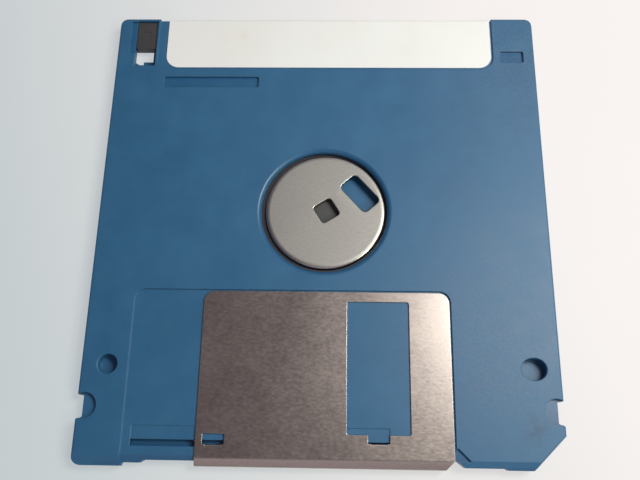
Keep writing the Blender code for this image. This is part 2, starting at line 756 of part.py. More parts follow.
def label_recess(name, leaf_y, face, side):
    """Shallow seat for one leaf of the label, and its share of the seat round the edge."""
    half = LABEL_WIDTH / 2 + LABEL_RIGHT_SHIFT + LABEL_RECESS_MARGIN
    low = leaf_y - LABEL_RECESS_MARGIN
    level = face - side * LABEL_RECESS_DEPTH
    seat = rounded([
        (-half, low, LABEL_CORNER),
        (half, low, LABEL_CORNER),
        (half, half_length + PAST, 0),
        (-half, half_length + PAST, 0),
    ])
    seat_z = tuple(sorted((level, face + side * PAST)))
    edge_y = half_length - LABEL_RECESS_DEPTH
    edge = rounded([
        (edge_y - 2 * LABEL_EDGE_ROUND, level, 0),
        (edge_y, level, LABEL_EDGE_ROUND),
        (edge_y, middle - side * PAST / 2, 0),
        (half_length + PAST, middle - side * PAST / 2, 0),
        (half_length + PAST, face + side * PAST, 0),
        (edge_y - 2 * LABEL_EDGE_ROUND, face + side * PAST, 0),
    ])
    return plate(name + "_seat", [seat], seat_z), bar(name + "_edge", edge, (-half, half))


def hub_side_shell():
    shell, hollow = half_shell("hub_side_shell", (middle + WELD_GAP / 2, top), top, 1)
    chamber = rod("hub_chamber", (0, hub_y), chamber_radius, hollow, ROUND_STEPS)
    cut(shell, chamber)
    cut(shell, spring_pocket("hub_spring_pocket", (hollow[0], chamber_ceiling + SPRING_POCKET_CEILING)))
    cut(shell, slider_channel("hub_slider_channel", hollow))

    window_radius = HUB_RADIUS + HUB_WINDOW_CLEARANCE
    window_centre = (HUB_WINDOW_SHIFT, hub_y)
    cut(shell, rod("hub_window", window_centre, window_radius, (hollow[0], top + PAST), HUB_STEPS))
    rim = (top - HUB_WINDOW_RIM_DEPTH, top + HUB_WINDOW_RIM_DEPTH)
    rim_radius = window_radius + 2 * HUB_WINDOW_RIM_WIDTH
    cut(shell, rod("hub_window_rim", window_centre, window_radius, rim, HUB_STEPS, rim_radius))

    groove_right = shutter_window_x + TAB_WIDTH / 2 + 2 * GROOVE_CLEARANCE
    groove_y = (groove_low, groove_high)
    cut(shell, box("groove", (groove_left, groove_right), groove_y, (hollow[0], top + PAST)))
    recess_floor = top - SHUTTER_RECESS
    step_y = (groove_high, front + STEP_FROM_FRONT)
    step_z = (recess_floor - STEP_DEPTH, top + PAST)
    cut(shell, box("path_step", (groove_left, groove_right), step_y, step_z))

    relief_low = front + CORNER_RELIEF_FROM_FRONT
    relief = [
        (recess_right - PAST, relief_low),
        (recess_right + CORNER_RELIEF[0], relief_low),
        (recess_right + CORNER_RELIEF_FLAT, relief_low + CORNER_RELIEF[1]),
        (recess_right - PAST, relief_low + CORNER_RELIEF[1]),
    ]
    cut(shell, plate("corner_relief", [relief], (top - CORNER_RELIEF_DEPTH, top + PAST)))

    cut(shell, *locating_holes("hub_locating", (hollow[0], top + PAST)))
    cut(shell, *locating_rims())
    for hand in (-1, 1):
        cut(shell, notch_pocket(f"notch_pocket_{hand}", hand, (top - NOTCH_POCKET_DROP, top + PAST)))

    half = SLIDER_WIDTH / 2 + SLIDER_CLEARANCE
    opening_y = (protect_stop_y, slider_end_y + SLIDER_CLEARANCE)
    opening_z = (hollow[0], top + PAST)
    cut(shell, box("slider_opening", (slider_x - half, slider_x + half), opening_y, opening_z))
    shelf_x = (slider_x - half - PROTECT_SHELF_WIDTH, slider_x)
    shelf_y = (slider_low_y - PROTECT_SHELF_OVERRUN, slider_end_y)
    cut(shell, box("slider_shelf", shelf_x, shelf_y, (top - PROTECT_SHELF_DEPTH, top + PAST)))

    cut(shell, *label_recess("label_back", label_back_y, top, 1))
    bar_centre = (BAR_RECESS_CENTRE[0], half_length - BAR_RECESS_CENTRE[1])
    cut(shell, recess_plate("bar_recess", bar_centre, BAR_RECESS, BAR_RECESS_DEPTH))
    blank_centre = (half_width - BLANK_RECESS_INSET[0], half_length - BLANK_RECESS_INSET[1])
    cut(shell, recess_plate("blank_recess", blank_centre, BLANK_RECESS, BLANK_RECESS_DEPTH))

    for key, centre in weld_posts.items():
        post_z = (middle - WELD_POST_DEPTH, middle + FACE_WALL / 2)
        join(shell, rod("weld_post_" + key, centre, WELD_POST_RADIUS, post_z, WELD_POST_STEPS))
    return piece(shell, "blue_plastic")


def recess_plate(name, centre, size, depth):
    """Shallow rounded recess in the hub side face."""
    loop = rectangle(centre, size, RECESS_PLATE_CORNER)
    return plate(name, [loop], (top - depth, top + PAST))


def head_slot(name, z):
    """Cut-out of a liner round the head window, open to the rim."""
    half = HEAD_WINDOW_WIDTH / 2 + LINER_WINDOW_MARGIN
    return box(name, (-half, half), (window_outer_y - PAST, window_inner_y + LINER_WINDOW_MARGIN), z)


def liner(name, z, inner_radius):
    """Fleece ring, cut away at the head window."""
    outer = circle((0, hub_y), chamber_radius - LINER_EDGE_GAP)
    inner = circle((0, hub_y), inner_radius)
    made = plate(name, [outer, inner], z)
    cut(made, head_slot(name + "_slot", (z[0] - PAST, z[1] + PAST)))
    return piece(made, "liner_fleece")


def liner_lifter():
    """Springy leaf, arched across its width, that presses the liner to the disc."""
    base = chamber_floor - LIFTER_POCKET + LINER_GAP
    half = LIFTER_LENGTH / 2
    steps = 8
    upper = []
    lower = []
    for k in range(steps + 1):
        share = k / steps
        rise = LIFTER_ARCH * math.sin(math.pi * share)
        upper.append((hub_y - half + LIFTER_LENGTH * share, base + rise + LIFTER_THICKNESS))
        lower.append((hub_y - half + LIFTER_LENGTH * share, base + rise))
    x = (-LIFTER_FROM_HUB - LIFTER_WIDTH / 2, -LIFTER_FROM_HUB + LIFTER_WIDTH / 2)
    return piece(bar("liner_lifter", lower + upper[::-1], x), "clear_leaf")


def wear_pad():
    low = chamber_floor + PAD_BOSS_HEIGHT + LINER_GAP
    return piece(rod("centre_wear_pad", (0, hub_y), PAD_RADIUS, (low, low + PAD_THICKNESS)), "grey_plastic")


def disc_group():
    """Hub, its ring of adhesive and the film, which turn together."""
    centre = (DISC_FLOAT, hub_y)
    axis = travel_empty("disc_axis", Vector((*centre, 0)))
    plate_top = top - HUB_RECESS
    flange_top = chamber_ceiling - FLANGE_CLEARANCE
    flange_low = flange_top - HUB_SHEET
    bend = HUB_CORNER
    steps = 4
    outer = []
    inner = []
    for k in range(steps + 1):
        a = math.pi / 2 * k / steps
        outer.append((HUB_RADIUS - bend + bend * math.sin(a), plate_top - bend + bend * math.cos(a)))
        hollow = bend - HUB_SHEET
        inner.append((HUB_RADIUS - bend + hollow * math.sin(a), plate_top - bend + hollow * math.cos(a)))
    profile = [(0, plate_top)] + outer
    profile += [(HUB_RADIUS, flange_top), (HUB_FLANGE_RADIUS, flange_top), (HUB_FLANGE_RADIUS, flange_low)]
    profile += [(HUB_RADIUS - HUB_SHEET, flange_low)] + inner[::-1] + [(0, plate_top - HUB_SHEET)]
    hub = turned("hub", centre, profile, HUB_STEPS)
    through = (plate_top - HUB_SHEET - PAST, plate_top + PAST)
    square = rectangle((0, 0), (SPINDLE_HOLE, SPINDLE_HOLE), SPINDLE_HOLE_CORNER)
    slot = rectangle((0, 0), (DRIVE_SLOT_LENGTH, DRIVE_SLOT_WIDTH), DRIVE_SLOT_CORNER)
    slot_x = DRIVE_SLOT_CENTRE * math.cos(DRIVE_SLOT_BEARING)
    slot_y = DRIVE_SLOT_CENTRE * math.sin(DRIVE_SLOT_BEARING)
    spindle = plate("spindle_hole", [square], through)
    spindle.location = (centre[0] + SPINDLE_HOLE_SHIFT[0], centre[1] + SPINDLE_HOLE_SHIFT[1], 0)
    spindle.rotation_euler.z = SPINDLE_HOLE_TURN
    drive = plate("drive_slot", [slot], through)
    drive.location = (centre[0] + slot_x, centre[1] + slot_y, 0)
    drive.rotation_euler.z = DRIVE_SLOT_TURN
    cut(hub, spindle, drive)
    piece(hub, "hub_steel")
    hub.parent = axis
    hub.location = (0, 0, 0)

    ring_top = flange_low - LAYER_GAP
    ring_low = ring_top - ADHESIVE_THICKNESS
    ring_loops = [
        circle(centre, HUB_FLANGE_RADIUS - ADHESIVE_INSET),
        circle(centre, DISC_HOLE_RADIUS + ADHESIVE_INSET),
    ]
    piece(plate("hub_adhesive_ring", ring_loops, (ring_low, ring_top)), "adhesive", axis)
    disc_top = ring_low - LAYER_GAP
    disc_loops = [circle(centre, DISC_RADIUS), circle(centre, DISC_HOLE_RADIUS)]
    piece(plate("magnetic_disc", disc_loops, (disc_top - DISC_THICKNESS, disc_top)), "magnetic_film", axis)


def shutter_profile():
    """Section of the folded sheet in (y, z): two leaves and the bevelled fold between them."""
    leaf = SHUTTER_RECESS - SHUTTER_GAP
    outer_high = top - leaf + SHUTTER_SHEET
    outer_low = leaf - SHUTTER_SHEET
    start = front + BEVEL_DEPTH
    drop = bevel_slope * (start - shutter_front_y)
    across = SHUTTER_SHEET * math.tan(math.atan(bevel_slope) / 2)
    down = SHUTTER_SHEET * math.tan((math.pi / 2 - math.atan(bevel_slope)) / 2)
    inner_front = shutter_front_y + SHUTTER_SHEET
    return [
        (shutter_top_y, outer_high),
        (start, outer_high),
        (shutter_front_y, outer_high - drop),
        (shutter_front_y, outer_low + drop),
        (start, outer_low),
        (shutter_top_y, outer_low),
        (shutter_top_y, outer_low + SHUTTER_SHEET),
        (start + across, outer_low + SHUTTER_SHEET),
        (inner_front, outer_low + drop + down),
        (inner_front, outer_high - drop - down),
        (start + across, outer_high - SHUTTER_SHEET),
        (shutter_top_y, outer_high - SHUTTER_SHEET),
    ]


def shutter():
    """Folded steel sheet with a window in each leaf and two tabs bent into the groove."""
    travel = travel_empty("shutter_travel", Vector((shutter_window_x, tab_y, middle)))
    sheet = bar("shutter", shutter_profile(), (shutter_left, shutter_right))
    window_high = shutter_top_y - SHUTTER_WINDOW_RIM
    window_low = tab_y + TAB_STAGGER + TAB_NOTCH_DEPTH
    window_centre = (shutter_window_x, (window_high + window_low) / 2)
    window_size = (SHUTTER_WINDOW_WIDTH, window_high - window_low)
    window = rectangle(window_centre, window_size, SHUTTER_WINDOW_CORNER)
    cut(sheet, plate("shutter_windows", [window], (-PAST, top + PAST)))
    upper = (middle, top + PAST)
    notch_x = (shutter_window_x - TAB_CLEAR_WIDTH / 2, shutter_window_x + TAB_CLEAR_WIDTH / 2)
    cut(sheet, box("tab_notch", notch_x, (tab_y + TAB_STAGGER, window_low + PAST), upper))
    tab_x = shutter_left + TAB_FROM_LEFT
    hole_x = (tab_x - TAB_CLEAR_WIDTH / 2, tab_x + TAB_CLEAR_WIDTH / 2)
    cut(sheet, box("tab_hole", hole_x, (tab_y, tab_y + TAB_HOLE_LENGTH), upper))
    for hand, x in ((-1, shutter_left), (1, shutter_right)):
        for side, z in (("back", upper), ("face", (-PAST, middle))):
            name = f"{side}_corner_{hand}"
            cut(sheet, corner_cutter(name, (x, shutter_top_y), (hand, 1), SHUTTER_CORNER, z))
    corner = [
        (shutter_right + PAST, front + BEVEL_DEPTH),
        (shutter_right, front + BEVEL_DEPTH),
        (shutter_right - SHUTTER_FRONT_CUT, shutter_front_y - PAST / 2),
        (shutter_right + PAST, shutter_front_y - PAST / 2),
    ]
    cut(sheet, plate("front_corner", [corner], (-PAST, top + PAST)))
    tab_top = top - SHUTTER_RECESS + SHUTTER_GAP + SHUTTER_SHEET / 2
    tab_z = (tab_top - TAB_DROP, tab_top)
    for name, x, y in (("window_tab", shutter_window_x, tab_y + TAB_STAGGER), ("hole_tab", tab_x, tab_y)):
        tab = box(name, (x - TAB_WIDTH / 2, x + TAB_WIDTH / 2), (y - SHUTTER_SHEET, y), tab_z)
        join(sheet, tab)
    return piece(sheet, "steel_sheet", travel)


def spring_points():
    """Centre line of the spring: a leg from the case, one coil and a half, and a leg to the tab."""
    low = chamber_floor - SPRING_POCKET_FLOOR + SPRING_WIRE
    to_anchor = spring_anchor - spring_coil
    to_hook = spring_hook - spring_coil
    start = math.atan2(to_anchor.y, to_anchor.x) - math.acos(SPRING_COIL_RADIUS / to_anchor.length)
    end = math.atan2(to_hook.y, to_hook.x) + math.acos(SPRING_COIL_RADIUS / to_hook.length)
    sweep = (start - end) % (2 * math.pi) + 2 * math.pi
    steps = 24
    points = [(spring_anchor.x, spring_anchor.y, low)]
    for k in range(steps + 1):
        a = start - sweep * k / steps
        x = spring_coil.x + SPRING_COIL_RADIUS * math.cos(a)
        y = spring_coil.y + SPRING_COIL_RADIUS * math.sin(a)
        points.append((x, y, low + SPRING_RISE * k / steps))
    points.append((spring_hook.x, spring_hook.y, low + SPRING_RISE))
    return points


def shutter_spring():
    """Bent wire, made as a curve with filled ends and welded into one solid."""
    points = spring_points()
    curve = bpy.data.curves.new("shutter_spring", "CURVE")
    curve.dimensions = "3D"
    curve.bevel_depth = SPRING_WIRE / 2
    curve.bevel_resolution = 2
    curve.use_fill_caps = True
    spline = curve.splines.new("POLY")
    spline.points.add(len(points) - 1)
    for point, place in zip(spline.points, points):
        point.co = (*place, 1)
    made = bpy.data.objects.new("shutter_spring", curve)
    cutters.objects.link(made)
    return piece(mesh_of_curve(made), "spring_steel")


def write_protect_slider():
    """Small block with side flanges under the hub side face and a dimple for a pen tip."""
    travel = travel_empty("slider_travel", Vector((slider_x, slider_low_y, middle)))
    half = SLIDER_WIDTH / 2
    flange = half + SLIDER_FLANGE
    low = chamber_floor + SLIDER_LIFT
    flange_top = chamber_ceiling - SLIDER_FLANGE_TOP
    high = top - SLIDER_BELOW_FACE
    span = (slider_low_y, slider_end_y)
    block = box("write_protect_slider", (slider_x - half, slider_x + half), span, (low, high))
    join(block, box("slider_flanges", (slider_x - flange, slider_x + flange), span, (low, flange_top)))
    centre = (slider_x, (slider_low_y + slider_end_y) / 2)
    dimple = rectangle(centre, (SLIDER_DIMPLE, SLIDER_DIMPLE), SLIDER_DIMPLE_CORNER)
    cut(block, plate("slider_dimple", [dimple], (high - SLIDER_DIMPLE_DEPTH, high + PAST)))
    return piece(block, "black_plastic", travel)


def label():
    """Paper label folded over the label end, from the hub side to the other side."""
    seat_high = top - LABEL_RECESS_DEPTH + LABEL_GAP
    seat_low = LABEL_RECESS_DEPTH - LABEL_GAP
    seat_end = half_length - LABEL_RECESS_DEPTH + LABEL_GAP
    inner = rounded([
        (seat_end, seat_low, LABEL_EDGE_ROUND),
        (seat_end, seat_high, LABEL_EDGE_ROUND),
        (label_back_y, seat_high, 0),
        (label_front_y, seat_low, 0),
    ])
    outside = LABEL_EDGE_ROUND + LABEL_THICKNESS
    outer = rounded([
        (seat_end + LABEL_THICKNESS, seat_low - LABEL_THICKNESS, outside),
        (seat_end + LABEL_THICKNESS, seat_high + LABEL_THICKNESS, outside),
        (label_back_y, seat_high + LABEL_THICKNESS, 0),
        (label_front_y, seat_low - LABEL_THICKNESS, 0),
    ])
    profile = outer[:-1] + inner[:-1][::-1]
    profile = [outer[-1]] + profile + [inner[-1]]
    left = LABEL_RIGHT_SHIFT - LABEL_WIDTH / 2
    right = LABEL_RIGHT_SHIFT + LABEL_WIDTH / 2
    paper = bar("label", profile, (left, right))
    upper = (middle, top + PAST)
    lower = (-PAST, middle)
    for hand, x in ((-1, left), (1, right)):
        for side, y, z in (("back", label_back_y, upper), ("face", label_front_y, lower)):
            cut(paper, corner_cutter(f"{side}_label_{hand}", (x, y), (hand, -1), LABEL_CORNER, z))
    return piece(paper, "label_paper")


label_side_shell()
hub_side_shell()
low_liner = chamber_floor + LINER_GAP
liner("label_side_liner", (low_liner, low_liner + LINER_THICKNESS), HUB_RADIUS + LINER_EDGE_GAP)
high_liner = chamber_ceiling - LINER_GAP
liner("hub_side_liner", (high_liner - LINER_THICKNESS, high_liner), HUB_FLANGE_RADIUS + LINER_FLANGE_GAP)
liner_lifter()
wear_pad()
disc_group()
shutter()
shutter_spring()
write_protect_slider()
label()
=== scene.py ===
"""Looks of the 3.5-inch floppy disk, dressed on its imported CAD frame."""
import math

import bmesh
import bpy
from mathutils import Matrix, Vector, noise


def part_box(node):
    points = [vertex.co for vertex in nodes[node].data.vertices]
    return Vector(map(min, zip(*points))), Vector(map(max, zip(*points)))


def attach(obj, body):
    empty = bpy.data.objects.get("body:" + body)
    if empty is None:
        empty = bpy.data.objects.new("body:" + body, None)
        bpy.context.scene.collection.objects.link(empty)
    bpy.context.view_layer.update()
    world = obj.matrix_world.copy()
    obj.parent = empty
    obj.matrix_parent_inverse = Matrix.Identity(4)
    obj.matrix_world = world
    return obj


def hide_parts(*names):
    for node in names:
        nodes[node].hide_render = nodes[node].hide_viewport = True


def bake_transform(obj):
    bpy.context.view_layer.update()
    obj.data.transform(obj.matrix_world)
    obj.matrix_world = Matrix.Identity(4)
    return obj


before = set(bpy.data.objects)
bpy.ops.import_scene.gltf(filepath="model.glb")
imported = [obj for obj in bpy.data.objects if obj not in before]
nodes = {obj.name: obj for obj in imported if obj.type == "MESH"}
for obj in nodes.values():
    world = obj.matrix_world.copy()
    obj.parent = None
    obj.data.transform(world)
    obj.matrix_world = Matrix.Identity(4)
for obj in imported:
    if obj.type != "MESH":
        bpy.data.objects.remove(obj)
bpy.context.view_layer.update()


# Label side shell.
# The lower half of the case, injection moulded in blue ABS with a fine spark-eroded grain. It is welded to
# the upper half at five small posts.
def add_node(tree, kind, inputs=None, **settings):
    """Adds a shader node. An input given as a socket is linked, and any other is set."""
    made = tree.nodes.new("ShaderNode" + kind)
    for name, value in settings.items():
        setattr(made, name, value)
    for key, value in (inputs or {}).items():
        if isinstance(value, bpy.types.NodeSocket):
            tree.links.new(value, made.inputs[key])
        else:
            made.inputs[key].default_value = value
    return made


def calculate(tree, operation, first, second=0.0):
    made = add_node(tree, "Math", {0: first, 1: second}, operation=operation)
    return made.outputs[0]


def remap(tree, value, low, high, to_low=0.0, to_high=1.0):
    limits = {"Value": value, "From Min": low, "From Max": high, "To Min": to_low, "To Max": to_high}
    return add_node(tree, "MapRange", limits).outputs["Result"]


def blend_colours(tree, share, first, second, mode="MIX"):
    made = add_node(tree, "Mix", data_type="RGBA", blend_type=mode)
    for index, value in ((0, share), (6, first), (7, second)):
        if isinstance(value, bpy.types.NodeSocket):
            tree.links.new(value, made.inputs[index])
        elif index:
            made.inputs[index].default_value = (*value, 1.0)
        else:
            made.inputs[index].default_value = value
    return made.outputs[2]


def object_space(tree):
    """Position on the piece in metres, which stays on it when it moves."""
    return add_node(tree, "TexCoord").outputs["Object"]


def clouds(tree, place, scale, detail, roughness=0.5):
    """Uneven grey pattern. A scale of 1000 gives patches of about a millimetre."""
    inputs = {"Vector": place, "Scale": scale, "Detail": detail, "Roughness": roughness}
    return add_node(tree, "TexNoise", inputs).outputs["Fac"]


def split_axes(tree, vector):
    return add_node(tree, "SeparateXYZ", {0: vector}).outputs


def effect_group(name, inputs, outputs):
    """Node group with the given sockets. Returns its tree, its inputs by name and its output node."""
    tree = bpy.data.node_groups.new(name, "ShaderNodeTree")
    for socket, kind, value in inputs:
        made = tree.interface.new_socket(socket, in_out="INPUT", socket_type="NodeSocket" + kind)
        made.default_value = value
    for socket, kind in outputs:
        tree.interface.new_socket(socket, in_out="OUTPUT", socket_type="NodeSocket" + kind)
    given = tree.nodes.new("NodeGroupInput").outputs
    return tree, given, tree.nodes.new("NodeGroupOutput").inputs


def use_effect(tree, group, **values):
    """Places an effect group in a material and gives back its outputs."""
    made = tree.nodes.new("ShaderNodeGroup")
    made.node_tree = group
    for name, value in values.items():
        made.inputs[name].default_value = value
    return made.outputs


def new_finish(name, roughness, metallic=0.0, **constants):
    """Material with a Principled BSDF. Returns the material, its tree and the shader."""
    material = bpy.data.materials.new(name)
    material.use_nodes = True
    tree = material.node_tree
    shader = tree.nodes["Principled BSDF"]
    shader.inputs["Roughness"].default_value = roughness
    shader.inputs["Metallic"].default_value = metallic
    for key, value in constants.items():
        shader.inputs[key.replace("_", " ")].default_value = value
    return material, tree, shader


def raise_surface(tree, shader, height, distance, under=None):
    """Feeds a height into the shader through a bump of a real depth, on top of another normal if given."""
    made = add_node(tree, "Bump", {"Height": height, "Distance": distance})
    if under is not None:
        tree.links.new(under, made.inputs["Normal"])
    tree.links.new(made.outputs["Normal"], shader.inputs["Normal"])


SMUDGE_PLACE = (0.0391, -0.0396, 0.0033)
SMUDGE_REACH = 0.0035
SMUDGE_BLUE = (0.018, 0.075, 0.16)
FINGER_FILM_AND_SHEEN_PLACES = ((0.0415, 0.0380, 0.0033), (0.0350, -0.0250, 0.0033))
FINGER_FILM_AND_SHEEN_REACH = 0.028
FINGER_FILM_AND_SHEEN_GREY = (0.17, 0.20, 0.25)
DISC_CENTRE_Y = 0.0023
WINDOW_CENTRE = (0.0005, DISC_CENTRE_Y, 0.0)
RIM_ABOVE = 0.0025
OUTER_EDGE = 0.0003
LEFT_POCKET_EDGE = -0.0412


def moulded_grain():
    """Grain of a spark-eroded mould: fine pits with a slight unevenness over a few millimetres."""
    tree, given, output = effect_group(
        "moulded_grain",
        [("Grain Size", "Float", 0.0002), ("Unevenness Size", "Float", 0.006)],
        [("Height", "Float"), ("Unevenness", "Float")],
    )
    place = object_space(tree)
    fine = clouds(tree, place, calculate(tree, "DIVIDE", 1.0, given["Grain Size"]), 3.0, 0.65)
    broad = clouds(tree, place, calculate(tree, "DIVIDE", 1.0, given["Unevenness Size"]), 4.0, 0.55)
    tree.links.new(fine, output["Height"])
    tree.links.new(broad, output["Unevenness"])
    return tree


def rubbed_marks():
    """Thin scuffs that cross at shallow angles, broken up so that only some show."""
    tree, given, output = effect_group(
        "rubbed_marks",
        [("Length", "Float", 0.02), ("Width", "Float", 0.0001), ("Share", "Float", 0.5)],
        [("Mask", "Float")],
    )
    place = object_space(tree)
    total = None
    for turn, seed in ((0.35, 0.0), (-0.6, 4.0), (1.3, 9.0)):
        moved = {"Vector": place, "Rotation": (0, 0, turn), "Location": (seed, seed, 0)}
        turned = add_node(tree, "Mapping", moved)
        x, y, _ = split_axes(tree, turned.outputs[0])
        stretched = add_node(tree, "CombineXYZ", {
            "X": calculate(tree, "DIVIDE", x, given["Length"]),
            "Y": calculate(tree, "DIVIDE", y, given["Width"]),
            "Z": seed,
        })
        mark = remap(tree, clouds(tree, stretched.outputs[0], 0.35, 1.0), 0.69, 0.74)
        total = mark if total is None else calculate(tree, "MAXIMUM", total, mark)
    where = clouds(tree, place, 90.0, 2.0)
    patches = calculate(tree, "LESS_THAN", where, calculate(tree, "MULTIPLY", given["Share"], 0.9))
    tree.links.new(calculate(tree, "MULTIPLY", total, patches), output["Mask"])
    return tree


def settled_dust():
    """Specks of dust, each a small round spot, thinned out at random."""
    tree, given, output = effect_group(
        "settled_dust",
        [("Spacing", "Float", 0.002), ("Speck Radius", "Float", 0.00008), ("Share", "Float", 0.3)],
        [("Mask", "Float")],
    )
    cells = add_node(tree, "TexVoronoi", {
        "Vector": object_space(tree),
        "Scale": calculate(tree, "DIVIDE", 1.0, given["Spacing"]),
    })
    reach = calculate(tree, "DIVIDE", given["Speck Radius"], given["Spacing"])
    near = calculate(tree, "LESS_THAN", cells.outputs["Distance"], reach)
    chance = add_node(tree, "SeparateColor", {0: cells.outputs["Color"]}).outputs[0]
    kept = calculate(tree, "LESS_THAN", chance, given["Share"])
    tree.links.new(calculate(tree, "MULTIPLY", near, kept), output["Mask"])
    return tree


def smudge_and_sheen_patch():
    """Mask of one soft patch about a place, with a broken outline, for smudges, stains and painted sheen."""
    tree, given, output = effect_group(
        "smudge_and_sheen_patch",
        [("Place", "Vector", (0.0, 0.0, 0.0)), ("Reach", "Float", 0.002), ("Patch Scale", "Float", 500.0)],
        [("Mask", "Float")],
    )
    place = object_space(tree)
    away = add_node(tree, "VectorMath", {0: place, 1: given["Place"]}, operation="DISTANCE").outputs["Value"]
    near = remap(tree, away, given["Reach"], 0.0)
    patchy = remap(tree, clouds(tree, place, given["Patch Scale"], 4.0), 0.35, 0.6)
    tree.links.new(calculate(tree, "MULTIPLY", near, patchy), output["Mask"])
    return tree


def softened_edges():
    """Normal rounded over sharp edges, and a patchy mask along them for rubbed wear and painted edge
    highlight.
    """
    tree, given, output = effect_group(
        "softened_edges",
        [("Radius", "Float", 0.00022), ("Wear Reach", "Float", 0.35)],
        [("Normal", "Vector"), ("Wear And Highlight", "Float")],
    )
    rounded = add_node(tree, "Bevel", {"Radius": given["Radius"]}, samples=6).outputs[0]
    flat = add_node(tree, "NewGeometry").outputs["True Normal"]
    alike = add_node(tree, "VectorMath", {0: rounded, 1: flat}, operation="DOT_PRODUCT").outputs["Value"]
    turned = calculate(tree, "SUBTRACT", 1.0, alike)
    wear_and_edge_highlight = remap(tree, turned, 0.02, given["Wear Reach"])
    patchy = remap(tree, clouds(tree, object_space(tree), 700.0, 3.0), 0.35, 0.65)
    tree.links.new(rounded, output["Normal"])
    tree.links.new(calculate(tree, "MULTIPLY", wear_and_edge_highlight, patchy), output["Wear And Highlight"])
    return tree


def polished_and_shaded_recesses():
    """Mask of the floors below the hub side face, left polished in the mould and darkened as painted shade.

    The finger pocket at the left notch is left out and keeps the face's finish and colour.
    """
    tree, given, output = effect_group(
        "polished_and_shaded_recesses",
        [("Lowest", "Float", 0.0016), ("Highest", "Float", 0.00284)],
        [("Mask", "Float")],
    )
    case_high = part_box("hub_side_shell")[1]
    x, y, z = split_axes(tree, object_space(tree))
    deep = calculate(tree, "GREATER_THAN", z, given["Lowest"])
    shallow = calculate(tree, "LESS_THAN", z, given["Highest"])
    across = calculate(tree, "LESS_THAN", calculate(tree, "ABSOLUTE", x), case_high.x - OUTER_EDGE)
    along = calculate(tree, "LESS_THAN", calculate(tree, "ABSOLUTE", y), case_high.y - OUTER_EDGE)
    level = calculate(tree, "MULTIPLY", deep, shallow)
    inside = calculate(tree, "MULTIPLY", across, along)
    at_left = calculate(tree, "LESS_THAN", x, LEFT_POCKET_EDGE)
    at_front = calculate(tree, "LESS_THAN", y, 0.0)
    kept = calculate(tree, "SUBTRACT", 1.0, calculate(tree, "MULTIPLY", at_left, at_front))
    polished_and_shaded = calculate(tree, "MULTIPLY", calculate(tree, "MULTIPLY", level, inside), kept)
    tree.links.new(polished_and_shaded, output["Mask"])
    return tree


def rolled_window_rim():
    """Normal of the hub window's rim, which rolls from the face into the window, and a mask of the rim."""
    tree, given, output = effect_group(
        "rolled_window_rim",
        [("Inner Radius", "Float", 0.01265), ("Outer Radius", "Float", 0.01355), ("Steepest", "Float", 1.15)],
        [("Normal", "Vector"), ("Mask", "Float")],
    )
    x, y, z = split_axes(tree, object_space(tree))
    flat = add_node(tree, "CombineXYZ", {"X": x, "Y": y}).outputs[0]
    to_centre = {0: WINDOW_CENTRE, 1: flat}
    inwards = add_node(tree, "VectorMath", to_centre, operation="SUBTRACT").outputs["Vector"]
    away = add_node(tree, "VectorMath", {0: inwards}, operation="LENGTH").outputs["Value"]
    lean = remap(tree, away, given["Outer Radius"], given["Inner Radius"], 0.0, given["Steepest"])
    towards = add_node(tree, "VectorMath", {0: inwards}, operation="NORMALIZE").outputs["Vector"]
    sideways = {0: towards, "Scale": calculate(tree, "SINE", lean)}
    level = add_node(tree, "VectorMath", sideways, operation="SCALE")
    upright = add_node(tree, "CombineXYZ", {"Z": calculate(tree, "COSINE", lean)}).outputs[0]
    both = {0: level.outputs["Vector"], 1: upright}
    rolled = add_node(tree, "VectorMath", both, operation="ADD").outputs["Vector"]
    high = calculate(tree, "GREATER_THAN", z, RIM_ABOVE)
    near = calculate(tree, "LESS_THAN", away, given["Outer Radius"])
    tree.links.new(rolled, output["Normal"])
    tree.links.new(calculate(tree, "MULTIPLY", high, near), output["Mask"])
    return tree


grain_effect = moulded_grain()
recess_polish_and_shade_effect = polished_and_shaded_recesses()
rim_effect = rolled_window_rim()
scuff_effect = rubbed_marks()
dust_effect = settled_dust()
smudge_and_sheen_effect = smudge_and_sheen_patch()
edge_effect = softened_edges()


